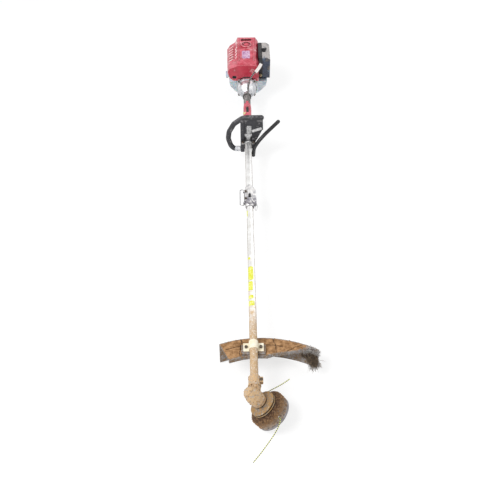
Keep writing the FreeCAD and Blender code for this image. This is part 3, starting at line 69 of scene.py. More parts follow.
# It stands beyond the cutting head at a little over head height, and looks down the tube.
camera_data = bpy.data.cameras.new("camera")
camera_data.lens = 42.77
camera = bpy.data.objects.new("camera", camera_data)
camera.location = (-0.0302, -2.585, 1.758)
camera.rotation_euler = Euler((math.radians(40.9), 0, math.radians(-1.07)))
bpy.context.scene.collection.objects.link(camera)
bpy.context.scene.camera = camera


# ---------- floor, room and lamps ----------

def linear(code):
    """An sRGB hex colour as the linear colour that shaders take."""
    parts = [int(code[i:i + 2], 16) / 255 for i in (1, 3, 5)]
    return tuple(c / 12.92 if c < 0.04045 else ((c + 0.055) / 1.055) ** 2.4 for c in parts) + (1.0,)


def add(tree, kind, inputs=None, **settings):
    """Adds a shader node. Each input is a value, or an output of another node."""
    made = tree.nodes.new(kind)
    for name, value in settings.items():
        setattr(made, name, value)
    for name, value in (inputs or {}).items():
        if isinstance(value, bpy.types.NodeSocket):
            tree.links.new(value, made.inputs[name])
        else:
            made.inputs[name].default_value = value
    return made


def seen_or_mirrored(tree):
    """1 where a surface is seen directly or in a gloss, and 0 where it only gives light."""
    path = add(tree, "ShaderNodeLightPath").outputs
    return add(tree, "ShaderNodeMath", {0: path["Is Camera Ray"], 1: path["Is Glossy Ray"]},
               operation="MAXIMUM").outputs[0]


# Seamless white paper. Seen directly it is close to pure white, and it keeps a soft shadow.
SHADE_SHARE = 0.36
GLOW_SHARE = 0.70
FLOOR_HALF = 14.0
FLOOR_Z = -0.0005
paper = bpy.data.materials.new("seamless_paper")
paper.use_nodes = True
tree = paper.node_tree
tree.nodes.clear()
matt = add(tree, "ShaderNodeBsdfDiffuse", {"Color": linear("#F4F3F1")})
part_matt = add(tree, "ShaderNodeBsdfDiffuse", {"Color": (SHADE_SHARE,) * 3 + (1,)})
glow = add(tree, "ShaderNodeEmission", {"Color": (1, 1, 1, 1), "Strength": GLOW_SHARE})
shown = add(tree, "ShaderNodeAddShader", {0: part_matt.outputs[0], 1: glow.outputs[0]})
both = add(tree, "ShaderNodeMixShader", {0: seen_or_mirrored(tree), 1: matt.outputs[0], 2: shown.outputs[0]})
add(tree, "ShaderNodeOutputMaterial", {"Surface": both.outputs[0]})
floor_mesh = bpy.data.meshes.new("floor")
floor_corners = [(x * FLOOR_HALF, y * FLOOR_HALF, FLOOR_Z) for x, y in ((-1, -1), (1, -1), (1, 1), (-1, 1))]
floor_mesh.from_pydata(floor_corners, [], [(0, 1, 2, 3)])
floor_mesh.materials.append(paper)
floor = bpy.data.objects.new("floor", floor_mesh)
bpy.context.scene.collection.objects.link(floor)

# The room is an even pale light; seen directly or in a reflection it is white.
ROOM_LIGHT = 0.55
room = bpy.data.worlds.new("room")
room.use_nodes = True
tree = room.node_tree
tree.nodes.clear()
ambient = add(tree, "ShaderNodeBackground", {"Color": (1, 1, 1, 1), "Strength": ROOM_LIGHT})
white = add(tree, "ShaderNodeBackground", {"Color": (1, 1, 1, 1), "Strength": 1.0})
both = add(tree, "ShaderNodeMixShader", {0: seen_or_mirrored(tree), 1: ambient.outputs[0],
                                         2: white.outputs[0]})
add(tree, "ShaderNodeOutputWorld", {"Surface": both.outputs[0]})
bpy.context.scene.world = room


def softbox(name, place, aim, size, watts):
    """A square lamp that faces a point."""
    lamp = bpy.data.lights.new(name, "AREA")
    lamp.size = size
    lamp.energy = watts
    stand = bpy.data.objects.new(name, lamp)
    stand.location = place
    stand.rotation_euler = (Vector(aim) - Vector(place)).to_track_quat("-Z", "Y").to_euler()
    bpy.context.scene.collection.objects.link(stand)


softbox("key_lamp", (-1.9, -2.4, 3.4), (0, -0.9, 0.1), 1.6, 95)
softbox("fill_lamp", (2.4, 0.6, 2.4), (0, -0.7, 0.1), 1.8, 26)
bpy.context.scene.view_settings.view_transform = "Standard"


# ---------- throttle cable ----------

# The throttle wire and the switch leads run in one corrugated polythene sleeve, from a
# moulded boot on the air cleaner's case over the clutch housing to the throttle. It is
# clipped under the rubber sleeve's collar on the tube.
tube_low, tube_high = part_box("upper_tube")
AXIS_Z = (tube_low.z + tube_high.z) / 2


def at(x, y, h):
    """A point in millimetres, with its height measured from the tube's axis."""
    return Vector((x * MM, y * MM, AXIS_Z + h * MM))


def route_line(points):
    """The smooth line of a route: a NURBS spline with the route's points as its controls."""
    data = bpy.data.curves.new("route", "CURVE")
    data.dimensions = "3D"
    data.resolution_u = 24
    spline = data.splines.new("NURBS")
    spline.points.add(len(points) - 1)
    for control, point in zip(spline.points, points):
        control.co = (*point, 1)
    spline.order_u = 3
    spline.use_endpoint_u = True
    holder = bpy.data.objects.new("route", data)
    line = np.array([v.co for v in bpy.data.meshes.new_from_object(holder).vertices])
    bpy.data.objects.remove(holder)
    return line


def evenly(line, step):
    """The line's points an even step apart, and how far along it each one lies."""
    run = np.concatenate([[0], np.cumsum(np.linalg.norm(np.diff(line, axis=0), axis=1))])
    along = np.linspace(0, run[-1], max(2, round(run[-1] / step)) + 1)
    return np.stack([np.interp(along, run, line[:, i]) for i in range(3)], 1), along


def frames(points):
    """Two directions square to the line at each point, which don't twist along it."""
    heading = np.gradient(points, axis=0)
    heading /= np.linalg.norm(heading, axis=1)[:, None]
    side = np.cross(heading[0], (0, 0, 1) if abs(heading[0][2]) < 0.9 else (1, 0, 0))
    sides = []
    for h in heading:
        side = side - h * (side @ h)
        side /= np.linalg.norm(side)
        sides.append(side)
    sides = np.array(sides)
    return sides, np.cross(heading, sides)


def piece(name, points, faces, material, body, smooth=True):
    """One finished mesh of the trimmer, which rides on a body."""
    mesh = bpy.data.meshes.new(name)
    mesh.from_pydata([tuple(p) for p in points], [], [tuple(f) for f in faces])
    mesh.polygons.foreach_set("use_smooth", [smooth] * len(mesh.polygons))
    mesh.materials.append(material)
    made = bpy.data.objects.new(name, mesh)
    bpy.context.scene.collection.objects.link(made)
    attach(made, body)
    return made


def hoops(rings, around):
    """The faces of a closed skin over rings of points. The last two are its end caps."""
    sides = [(i * around + j, i * around + (j + 1) % around, (i + 1) * around + (j + 1) % around,
              (i + 1) * around + j) for i in range(rings - 1) for j in range(around)]
    return sides + [tuple(range(around - 1, -1, -1)), tuple(range((rings - 1) * around, rings * around))]


def tube(name, line, step, radius, material, body, around=20, tone=None):
    """A closed tube along a line. radius(along, angle) is its size in metres there, and
    tone(along, angle) the share of its material's tone colour that it shows."""
    points, along = evenly(line, step)
    sides, ups = frames(points)
    turns = [math.tau * i / around for i in range(around)]
    ring = []
    for p, side, up, a in zip(points, sides, ups, along):
        for turn in turns:
            ring.append(p + (side * math.cos(turn) + up * math.sin(turn)) * radius(a, turn))
    made = piece(name, ring, hoops(len(points), around), material, body)
    if tone:
        store = made.data.attributes.new("tone", "FLOAT", "POINT")
        store.data.foreach_set("value", [tone(a, turn) for a in along for turn in turns])
    return made


def surface_of(name, deep, pale, mottle_mm, roughness, grain_mm, relief_mm, edge_mm=0.8, edge_wear_and_glint=None,
               **finish):
    """Two mottled colours and a grain, as a mould, a die or a brush leaves. Its edges are softened
    over edge_mm, and edge_wear_and_glint is the paler colour painted on them, as wear and as painted
    highlight."""
    material = bpy.data.materials.new(name)
    material.use_nodes = True
    tree = material.node_tree
    place = add(tree, "ShaderNodeTexCoord").outputs["Object"]
    mottle = add(tree, "ShaderNodeTexNoise", {"Vector": place, "Scale": 1 / (mottle_mm * MM), "Detail": 4.0,
                                              "Roughness": 0.6})
    share = add(tree, "ShaderNodeMapRange", {0: mottle.outputs[0], 1: 0.35, 2: 0.65})
    colour = add(tree, "ShaderNodeMix", {0: share.outputs[0], 6: linear(deep), 7: linear(pale)},
                 data_type="RGBA")
    grain = add(tree, "ShaderNodeTexNoise", {"Vector": place, "Scale": 1 / (grain_mm * MM), "Detail": 2.0})
    sheen = add(tree, "ShaderNodeMapRange", {0: mottle.outputs[0], 1: 0.3, 2: 0.7, 3: roughness[0],
                                             4: roughness[1]})
    soft = add(tree, "ShaderNodeBevel", {"Radius": edge_mm * MM}, samples=6)
    relief = add(tree, "ShaderNodeBump", {"Height": grain.outputs[0], "Strength": 0.6,
                                          "Distance": relief_mm * MM, "Normal": soft.outputs[0]})
    # Paler edges: wear, and a painted highlight where light would catch them.
    if edge_wear_and_glint:
        flat = add(tree, "ShaderNodeNewGeometry").outputs["Normal"]
        turn = add(tree, "ShaderNodeVectorMath", {0: flat, 1: soft.outputs[0]}, operation="DOT_PRODUCT")
        patchy = add(tree, "ShaderNodeMath", {0: turn.outputs["Value"], 1: mottle.outputs[0]},
                     operation="ADD")
        wear_and_glint = add(tree, "ShaderNodeMapRange", {0: patchy.outputs[0], 1: 1.44, 2: 1.3})
        colour = add(tree, "ShaderNodeMix", {0: wear_and_glint.outputs[0], 6: colour.outputs[2], 7: linear(edge_wear_and_glint)},
                     data_type="RGBA")
    skin = tree.nodes["Principled BSDF"]
    tree.links.new(colour.outputs[2], skin.inputs["Base Color"])
    tree.links.new(sheen.outputs[0], skin.inputs["Roughness"])
    tree.links.new(relief.outputs[0], skin.inputs["Normal"])
    for socket, value in finish.items():
        skin.inputs[socket.replace("_", " ")].default_value = value
    return material


def lay_over(material, share, colour):
    """Mixes a colour over the material's own, where share is 1."""
    tree = material.node_tree
    base = tree.nodes["Principled BSDF"].inputs["Base Color"]
    over = add(tree, "ShaderNodeMix", {0: share, 6: base.links[0].from_socket, 7: colour}, data_type="RGBA")
    tree.links.new(over.outputs[2], base)


def lay_dust_and_painted_light(material, deep, pale, share, patch_mm, facing=(0.0, 0.6), between=None, relief_mm=0.0):
    """Lays a colour over a material, in patches and by how far up its faces look: dust and soil,
    and in some materials painted shade, painted highlight and painted reflection. facing is how far
    up a face looks where it starts and where it is full. between is an axis, and the places
    along it, in metres, where it starts and where it is full."""
    tree = material.node_tree
    skin = tree.nodes["Principled BSDF"]
    place = add(tree, "ShaderNodeTexCoord").outputs["Object"]
    up = add(tree, "ShaderNodeSeparateXYZ", {0: add(tree, "ShaderNodeNewGeometry").outputs["Normal"]})
    level = add(tree, "ShaderNodeMapRange", {0: up.outputs[2], 1: facing[0], 2: facing[1]},
                interpolation_type="SMOOTHSTEP")
    patch = add(tree, "ShaderNodeTexNoise", {"Vector": place, "Scale": 1 / (patch_mm * MM), "Detail": 5.0,
                                             "Roughness": 0.65})
    spread = add(tree, "ShaderNodeMapRange", {0: patch.outputs[0], 1: 0.72 - 0.42 * share,
                                              2: 0.9 - 0.42 * share})
    cover = add(tree, "ShaderNodeMath", {0: level.outputs[0], 1: spread.outputs[0]}, operation="MULTIPLY")
    if between:
        axis, start, end = between
        ahead = add(tree, "ShaderNodeVectorMath", {0: place, 1: axis}, operation="DOT_PRODUCT")
        wander = add(tree, "ShaderNodeMath", {0: patch.outputs[0], 1: (end - start) * 0.8,
                                              2: ahead.outputs["Value"]}, operation="MULTIPLY_ADD")
        reach = add(tree, "ShaderNodeMapRange", {0: wander.outputs[0], 1: start + (end - start) * 0.4,
                                                 2: end + (end - start) * 0.4})
        cover = add(tree, "ShaderNodeMath", {0: cover.outputs[0], 1: reach.outputs[0]}, operation="MULTIPLY")
    shade = add(tree, "ShaderNodeTexNoise", {"Vector": place, "Scale": 3.2 / (patch_mm * MM), "Detail": 3.0})
    tint = add(tree, "ShaderNodeMix", {0: shade.outputs[0], 6: linear(deep), 7: linear(pale)},
               data_type="RGBA")
    lay_over(material, cover.outputs[0], tint.outputs[2])
    shine = skin.inputs["Roughness"].links[0].from_socket
    dull = add(tree, "ShaderNodeMix", {0: cover.outputs[0], 2: shine, 3: 0.95})
    tree.links.new(dull.outputs[0], skin.inputs["Roughness"])
    bare = skin.inputs["Metallic"].default_value
    if bare:
        metal = add(tree, "ShaderNodeMapRange", {0: cover.outputs[0], 3: bare, 4: 0.0})
        tree.links.new(metal.outputs[0], skin.inputs["Metallic"])
    if relief_mm:
        below = skin.inputs["Normal"].links[0].from_socket
        lumps = add(tree, "ShaderNodeMath", {0: cover.outputs[0], 1: shade.outputs[0]}, operation="MULTIPLY")
        crust = add(tree, "ShaderNodeBump", {"Height": lumps.outputs[0], "Distance": relief_mm * MM,
                                             "Normal": below, "Strength": 0.8})
        tree.links.new(crust.outputs[0], skin.inputs["Normal"])
    return material


def toned(material, mark_colour, start=0.35, end=0.65):
    """Mixes mark_colour over a mesh by its tone attribute, which runs from start to end."""
    tree = material.node_tree
    tone = add(tree, "ShaderNodeAttribute", attribute_name="tone")
    share = add(tree, "ShaderNodeMapRange", {0: tone.outputs["Fac"], 1: start, 2: end})
    lay_over(material, share.outputs[0], linear(mark_colour))


def paint_crevice_shade(material, mark_colour, reach_mm, amount=0.9):
    """Paints shade into the corners and gaps that ambient light doesn't reach, in a dark colour."""
    tree = material.node_tree
    open_sky = add(tree, "ShaderNodeAmbientOcclusion", {"Distance": reach_mm * MM}, samples=6)
    crevice_shade = add(tree, "ShaderNodeMapRange", {0: open_sky.outputs["AO"], 1: 0.75, 2: 0.25, 4: amount})
    lay_over(material, crevice_shade.outputs[0], linear(mark_colour))


# Polythene, extruded and corrugated: satin black, with grey dust on its upper side and a paler grey along the
# crest of each ridge.
sleeve_polythene = surface_of("corrugated_polythene", "#101012", "#26262A", 9, (0.3, 0.45), 1.5, 0.1,
                              IOR=1.51)
lay_dust_and_painted_light(sleeve_polythene, "#4E4B49", "#7A7672", 0.4, 6, facing=(0.35, 1.0))
toned(sleeve_polythene, "#A39F9B", 0.66, 0.82)
CABLE_D = 8.0
CABLE_TURN = 8.0         # one turn of the corrugation, coarse enough to show
RIDGE_TALL = 0.9
CABLE_POINTS = [(66, -80, 112), (66, -98, 112), (63, -121, 112), (50, -134, 98), (31, -141, 77),
                (17, -149, 58), (10, -164, 46), (7, -184, 34), (6, -206, 26.5), (5, -232, 22),
                (5, -254, 20.4), (5, -276, 20.4)]


def cable_radius(along, turn):
    """A spiral ridge that stands out of the sleeve."""
    return (CABLE_D / 2 - RIDGE_TALL + RIDGE_TALL * cable_ridge(along, turn)) * MM


def cable_ridge(along, turn):
    """1 on the ridge and 0 in the groove beside it."""
    return 0.5 + 0.5 * math.cos(math.tau * along / (CABLE_TURN * MM) - turn)


cable_line = route_line([at(*p) for p in CABLE_POINTS])
cable_path, cable_along = evenly(cable_line, 2 * MM)
cable = tube("corrugated_cable", cable_line, 0.55 * MM, cable_radius, sleeve_polythene, "root",
             tone=cable_ridge)
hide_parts("throttle_cable")

# The boot is soft matt rubber, with rings that let it bend.
boot_rubber = surface_of("moulded_rubber", "#0E0E10", "#1E1E21", 7, (0.55, 0.75), 1.2, 0.15, IOR=1.52)
lay_dust_and_painted_light(boot_rubber, "#4E4B48", "#7C7872", 0.35, 8, facing=(0.3, 1.0))
BOOT_LENGTH = 30.0


def boot_radius(along, turn):
    """A cone with rings that fade towards its thin end."""
    share = along / (BOOT_LENGTH * MM)
    ring = 0.5 + 0.5 * math.cos(share * 3.5 * 2 * math.pi)
    return (8.4 - 3.2 * share + 0.8 * ring * (1 - 0.6 * share)) * MM


boot = tube("cable_boot", cable_path[cable_along <= BOOT_LENGTH * MM], 0.8 * MM, boot_radius, boot_rubber,
            "root", around=28)

# A blank tag is folded round the cable, with its flag to one side. It is white vinyl with a
# satin face, stained pink in patches.
tag_vinyl = surface_of("tag_vinyl", "#E3DCD8", "#F6F2EF", 9, (0.4, 0.55), 2.5, 0.05, IOR=1.5)
lay_dust_and_painted_light(tag_vinyl, "#B9857F", "#D8B4AF", 0.3, 7)
TAG_FROM, TAG_TO, TAG_FLAG, TAG_T = 33.0, 78.0, 6.0, 0.35


def tag_outline():
    """The tag's section: once round the sleeve, then both layers out to the flag's edge."""
    r = CABLE_D / 2 + 0.25
    out = []
    for i in range(19):
        turn = math.radians(25 + 310 * i / 18)
        out.append((r * math.cos(turn), r * math.sin(turn)))
    return [(r + TAG_FLAG, 0.5)] + out + [(r + TAG_FLAG, -0.5)]


def tag_piece():
    """The folded tag. Its two ends are open in the middle, where the sleeve runs through."""
    near = (cable_along >= TAG_FROM * MM) & (cable_along <= TAG_TO * MM)
    line, _ = evenly(cable_path[near], 1.5 * MM)
    sides, ups = frames(line)
    inner = tag_outline()
    outer = [(x * (1 + TAG_T / 4), y * 1.13 + (TAG_T if y > 0 else -TAG_T)) for x, y in inner]
    section = outer + inner[::-1]
    points = [p - s * x * MM + u * y * MM for p, s, u in zip(line, sides, ups) for x, y in section]
    n = len(section)
    faces = hoops(len(line), n)[:-2]
    half = n // 2
    for start, flip in ((0, False), ((len(line) - 1) * n, True)):
        for j in range(half - 1):
            quad = (start + j, start + j + 1, start + n - 2 - j, start + n - 1 - j)
            faces.append(quad if flip else quad[::-1])
    return piece("cable_tag", points, faces, tag_vinyl, "root", smooth=False)


tag = tag_piece()
at(*CABLE_POINTS[0])
[tuple(p) for p in cable_path]


# ---------- trimmer lines ----------

# Two ends of one nylon monofilament, extruded square and twisted, come out of opposite
# eyes of the head. It is pale yellow, with dark bands along its twist, and cut off square.
head_joint = next(j for j in frame["joints"] if j["name"] == "head_spin")
GEAR_CENTRE = Vector(head_joint["pos_m"])
OUT_AXIS = Vector(head_joint["axis"]).normalized()
EYE_AXIS = Vector((0.443, -0.675, 0.591))      # about from one eye to the other
EYE_AXIS = (EYE_AXIS - OUT_AXIS * EYE_AXIS.dot(OUT_AXIS)).normalized()
SWEEP_AXIS = OUT_AXIS.cross(EYE_AXIS)
EYE_ALONG = 72.0
LINE_D = 2.7
LINE_TWIST = 13.0        # one turn of the twist, coarse enough to show
LINE_A_POINTS = [(56, 0), (67, 0), (75.5, 6), (79, 18), (76, 31), (66, 45), (54, 60), (40, 77), (27, 95),
                 (17, 114)]
LINE_B_POINTS = [(56, 0), (66, 0), (75, 7), (83, 21), (89, 40), (92, 62), (93, 88), (94, 116), (92, 146)]


def head_point(along, out=0.0, sweep=0.0):
    """A point in the cutting head, in millimetres along its axis, out and round."""
    return GEAR_CENTRE + (OUT_AXIS * along + EYE_AXIS * out + SWEEP_AXIS * sweep) * MM


def line_radius(along, turn):
    """A square with soft corners that turns as it goes."""
    a = turn - math.tau * along / (LINE_TWIST * MM)
    corner = (abs(math.cos(a)) ** 5 + abs(math.sin(a)) ** 5) ** (-1 / 5)
    return LINE_D / 2 * (0.2 + 0.72 * corner) * MM


# Nylon: waxy, a little translucent, and barely glossy. Dark bands lie along its twist.
line_nylon = surface_of("twisted_nylon", "#D2D64A", "#F0F290", 5, (0.35, 0.5), 1.0, 0.05, IOR=1.53)
toned(line_nylon, "#231D14", 0.4, 0.6)
for name, side, points, length, node in (("line_a", -1, LINE_A_POINTS, 0.1483, "trimmer_line_a"),
                                         ("line_b", 1, LINE_B_POINTS, 0.1632, "trimmer_line_b")):
    line = route_line([head_point(EYE_ALONG, side * out, side * sweep) for out, sweep in points])
    strand = tube(name, line, 0.7 * MM, line_radius, line_nylon, "cutting_head", around=16,
                  tone=lambda along, turn: 0.5 + 0.5 * math.cos(4 * math.pi * along / (LINE_TWIST * MM)))
    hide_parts(node)
    [tuple(p) for p in evenly(line, 2 * MM)[0]]


# ---------- engine's top cover ----------

# One injection moulding in red ABS hides the cylinder. Its raised middle carries a round
# boss between two ribs, and slots in its left shoulder let the silencer's heat out.
def dress(material, *names):
    """Gives CAD nodes a material."""
    for name in names:
        node = frame["nodes"][name]
        if not node.material_slots:
            node.data.materials.append(material)
        for slot in node.material_slots:
            slot.link = "OBJECT"
            slot.material = material


# Gloss red, painted paler on its edges as wear where it is handled and as painted highlight, with pale pink
# on its top faces as a film of dust and a painted highlight. Painted shade darkens its recesses.
cover_abs = surface_of("moulded_red_abs", "#A81A31", "#C62C46", 34, (0.22, 0.42), 2.2, 0.12, edge_mm=3.0,
                       edge_wear_and_glint="#F4B9BC", IOR=1.54, Coat_Weight=0.35, Coat_Roughness=0.12)
lay_dust_and_painted_light(cover_abs, "#D2405A", "#EE8E9A", 0.7, 30, facing=(0.3, 0.9))
paint_crevice_shade(cover_abs, "#3A0E14", 5, 0.75)
dress(cover_abs, "top_cover", "throttle_upper")
COVER_STATIONS = (-125, -77, 74)


def cover_height(x, y):
    """Height of the cover's top over the tube's axis: its raised middle, or its left shoulder."""
    if x > -46:
        return float(np.interp(y, COVER_STATIONS, (111, 118, 141)))
    inner = float(np.interp(y, COVER_STATIONS, (105, 107, 117)))
    outer = float(np.interp(y, COVER_STATIONS, (96, 97, 99)))
    return outer + (inner - outer) * (x + 80) / 28


def sheet_faces(rows, columns):
    """The faces of a closed sheet: its upper layer, its under layer, and the rim that joins them."""
    across = columns + 1
    under = across * (rows + 1)
    faces = []
    for i in range(rows):
        for j in range(columns):
            a = i * across + j
            faces.append((a, a + across, a + across + 1, a + 1))
            faces.append((under + a, under + a + 1, under + a + across + 1, under + a + across))
    rim = list(range(columns + 1)) + [i * across + columns for i in range(1, rows + 1)]
    rim += [rows * across + j for j in range(columns - 1, -1, -1)]
    rim += [i * across for i in range(rows - 1, 0, -1)]
    return faces + [(a, b, b + under, a + under) for a, b in zip(rim, rim[1:] + rim[:1])]


def slab(name, place, width, length, corner, thick, material, body, rows=14, columns=8):
    """A thin sheet with rounded corners. place(u, v, w) is its point across, along and up, in mm."""
    points = []
    for level in (thick, 0.0):
        for i in range(rows + 1):
            v = length * (-0.5 + i / rows)
            past = max(0.0, abs(v) - (length / 2 - corner)) / corner
            half = width / 2 - corner * (1 - math.sqrt(max(0.0, 1 - past * past)))
            for j in range(columns + 1):
                points.append(place(half * (2 * j / columns - 1), v, level))
    made = piece(name, points, sheet_faces(rows, columns), material, body, smooth=False)
    shell = bmesh.new()
    shell.from_mesh(made.data)
    bmesh.ops.recalc_face_normals(shell, faces=shell.faces)
    shell.to_mesh(made.data)
    shell.free()
    return made


# The highest lips and rims of the cover are painted almost white: a painted highlight.
louvre_highlight_abs = surface_of("painted_highlight_red_abs", "#F0A2A8", "#FFF6F5", 6, (0.3, 0.5), 1.5, 0.1, IOR=1.54)

# The boss is a round cap with a rolled rim. The cap is a deeper red as painted shade of its recess, with
# painted shade in its corners and pale edges that are wear and painted highlight. The rim is pale red: a
# painted highlight.
BOSS_Y, BOSS_H = 18.0, 138.0
boss_abs = surface_of("boss_red_abs", "#B8203A", "#E0566A", 8, (0.25, 0.45), 1.5, 0.1, edge_mm=1.5,
                      edge_wear_and_glint="#FFD9DB", IOR=1.54)
paint_crevice_shade(boss_abs, "#4A1018", 3, 0.7)
rim_highlight_abs = surface_of("rim_red_abs_painted_highlight", "#D0485A", "#F6B4BA", 5, (0.25, 0.45), 1.5, 0.1, edge_mm=1.0, IOR=1.54)


def turned_piece(name, place, profile, material, body, around=40):
    """A mesh turned from (radius, height) pairs. place(x, y, z) puts its points on the trimmer."""
    points = [place(r * math.cos(math.tau * j / around), r * math.sin(math.tau * j / around), z)
              for r, z in profile for j in range(around)]
    return piece(name, points, hoops(len(profile), around), material, body)


def on_boss(x, y, z):
    """Places a turned piece on the boss, whose top it follows."""
    return at(x, BOSS_Y + y, BOSS_H - 3 + z)


turned_piece("boss_cap", on_boss, [(20.2, -0.3), (20.2, 0.6), (19, 1.6), (15.5, 2.2), (14.6, 1.5),
                                   (12.6, 1.5), (11.8, 2.4), (6, 3.1), (0.5, 3.3)], boss_abs, "root")
turned_piece("boss_rim", on_boss, [(21.1, 1.8), (21.1, 3.3), (22, 4.2), (23.4, 4.5), (24.6, 3.9), (25.2, 2.6),
                                   (25.2, 1.8)], rim_highlight_abs, "root", around=64)


# Blank vinyl where the maker's sticker sits, faded to a pale violet.
sticker_violet = surface_of("faded_vinyl_sticker", "#9A4E93", "#F0D3E6", 7, (0.25, 0.4), 4, 0.03, IOR=1.5)
slab("cover_sticker", lambda u, v, w: at(-2 + u, -48 + v, cover_height(0, -48 + v) + 0.1 + w), 38, 54, 3,
     0.25, sticker_violet, "root")


def bar_between(name, start, end, width, height, material, body, sections=9):
    """A moulded bar with a crowned top and rounded ends, lying between two points."""
    start, end = Vector(start), Vector(end)
    ahead = (end - start).normalized()
    across = ahead.cross(Vector((0, 0, 1)) if abs(ahead.z) < 0.9 else Vector((1, 0, 0))).normalized()
    up = across.cross(ahead)
    profile = [(-1, -0.6), (-1, 0.2), (-0.8, 0.7), (-0.35, 1), (0.35, 1), (0.8, 0.7), (1, 0.2), (1, -0.6)]
    points = []
    for i in range(sections):
        share = i / (sections - 1)
        taper = math.sqrt(max(0.06, 1 - (2 * share - 1) ** 6))
        for a, b in profile:
            points.append(start.lerp(end, share) + across * a * width / 2 * taper * MM
                          + up * (b if b < 0 else b * taper) * height * MM)
    return piece(name, points, hoops(sections, len(profile)), material, body)


# Louvres: a lip stands behind each slot, and four short ones climb the step beside them.
for i in range(6):
    y = -62 + i * 21
    bar_between(f"louvre_{i + 1}", at(-84, y - 4, cover_height(-84, y - 4) + 1.6),
                at(-60, y + 5, cover_height(-60, y + 5) + 0.6), 4.5, 2.0, louvre_highlight_abs, "root")
for i in range(4):
    y = -62 + i * 22
    bar_between(f"step_louvre_{i + 1}", at(-53, y, cover_height(-53, y) + 1.0),
                at(-44.5, y + 3, cover_height(0, y) - 0.5), 7.0, 1.8, louvre_highlight_abs, "root")


# ---------- clutch housing, engine castings and tank ----------

# The clutch housing, the crankcase with its finned barrel, and the carburettor are pressure
# die castings in aluminium, tumbled bright. Their steep and lower faces are painted a darker blue-grey,
# and their corners between ribs and fins dark grey: both painted shade.
cast_aluminium = surface_of("die_cast_aluminium", "#B4B6BB", "#F4F4F5", 14, (0.3, 0.5), 1.6, 0.18,
                            Metallic=1.0)
lay_dust_and_painted_light(cast_aluminium, "#5F6670", "#A3ABB5", 0.6, 14, facing=(0.5, -0.1))
paint_crevice_shade(cast_aluminium, "#5A5856", 6, 0.6)
dress(cast_aluminium, "clutch_housing", "fan_cover", "carburettor")

# The engine block is duller and greyer, with dust that oil and heat have browned.
engine_aluminium = surface_of("sand_grey_casting", "#77797D", "#A9ABAE", 12, (0.45, 0.65), 1.4, 0.2,
                              Metallic=1.0)
lay_dust_and_painted_light(engine_aluminium, "#4A443C", "#7B7468", 0.45, 11, facing=(-1.2, -0.4))
dress(engine_aluminium, "engine_block")

# The tank is blown from natural polythene: milky, waxy, and tinted by what is inside it.
tank_polythene = surface_of("blown_natural_polythene", "#B4C0CF", "#EDF1F4", 30, (0.3, 0.42), 5, 0.15,
                            IOR=1.51, Subsurface_Weight=0.35, Subsurface_Scale=0.012)
lay_dust_and_painted_light(tank_polythene, "#A29C94", "#CBC6BE", 0.3, 20, facing=(-1.2, 0.2))
dress(tank_polythene, "tank_guard", "fuel_cap", "fuel_tank")

# Glass-filled nylon, moulded with a fine spark-eroded grain: matt black that dust turns grey.
black_nylon = surface_of("grained_black_nylon", "#151518", "#29292D", 18, (0.45, 0.62), 1.8, 0.14, IOR=1.53)
lay_dust_and_painted_light(black_nylon, "#4B4845", "#77726C", 0.4, 14, facing=(0.2, 1.0))
dress(black_nylon, "starter_cover", "oil_cap", "starter_grip",
      "starter_pulley", "ignition_coil", "carb_lever", "choke_lever", "air_cleaner_case", "air_cover_knob")

# Turned and ground steel: bright, with fine rings from the tool.
ground_steel = surface_of("ground_steel", "#8C8E92", "#B9BBBF", 6, (0.22, 0.38), 0.8, 0.05, Metallic=1.0)
dress(ground_steel, "crankshaft", "flywheel", "clutch_shoes", "clutch_drum", "drive_shaft", "bevel_pinion",
      "output_shaft", "bearings_and_bushes", "recoil_spring")

# The silencer is pressed sheet steel, straw and blue from heat, with a dull scale.
heated_steel = surface_of("heat_scaled_steel", "#4D4440", "#8A7B6B", 15, (0.5, 0.75), 1.5, 0.12, Metallic=1.0)
dress(heated_steel, "muffler")

# The plug's body is nickel-plated, over a white ceramic nose.
plug_nickel = surface_of("nickel_plate", "#A9A69E", "#CFCDC6", 5, (0.2, 0.35), 1.0, 0.04, Metallic=1.0)
dress(plug_nickel, "spark_plug")

# The starter's cord is braided nylon, pale with a grey tracer.
cord_braid = surface_of("braided_starter_cord", "#9C978C", "#DAD6CB", 2, (0.7, 0.9), 0.9, 0.25,
                        Sheen_Weight=0.2)
dress(cord_braid, "starter_rope")


# ---------- air cleaner ----------

# A deep moulded lid stands over the foam on the operator's left, held by one knob. Dust has
# settled thick on its top, while its front face is still dark and shiny.
cleaner_plastic = surface_of("moulded_navy_polypropylene", "#1A2234", "#3A4A66", 40, (0.2, 0.35), 2.4, 0.1,
                             edge_mm=5.0, edge_wear_and_glint="#7A7268", IOR=1.49, Coat_Weight=0.3, Coat_Roughness=0.2)
# Pale blue patches over the whole lid are a painted reflection of the sky.
lay_dust_and_painted_light(cleaner_plastic, "#4F6A84", "#86A3BC", 0.35, 30, facing=(-1.3, -1.0))
lay_dust_and_painted_light(cleaner_plastic, "#A19C99", "#D2CDCA", 1.0, 18, facing=(-0.05, 0.7))
dress(cleaner_plastic, "air_cleaner_cover")

# Oiled foam is brown-black and quite matt, with open cells.
filter_foam = surface_of("oiled_filter_foam", "#141311", "#34302A", 3, (0.85, 1.0), 1.2, 0.8)
dress(filter_foam, "air_filter")

# The primer bulb is clear rubber: glossy, and yellowed by fuel.
primer_rubber = surface_of("clear_primer_rubber", "#8C7F5C", "#B9AC86", 8, (0.15, 0.3), 2, 0.05, IOR=1.5,
                           Subsurface_Weight=0.3, Subsurface_Scale=0.004)
dress(primer_rubber, "primer_bulb")


# ---------- tube and rubber sleeve ----------

# Drawn aluminium tube, clear anodised: nearly white in daylight, with fine draw lines. The
# lower half ends in dried soil that hides the metal towards the gear case.
tube_anodised = surface_of("anodised_tube_upper", "#E4E3E1", "#F6F6F5", 26, (0.3, 0.45), 1.4, 0.05,
                           Metallic=1.0)
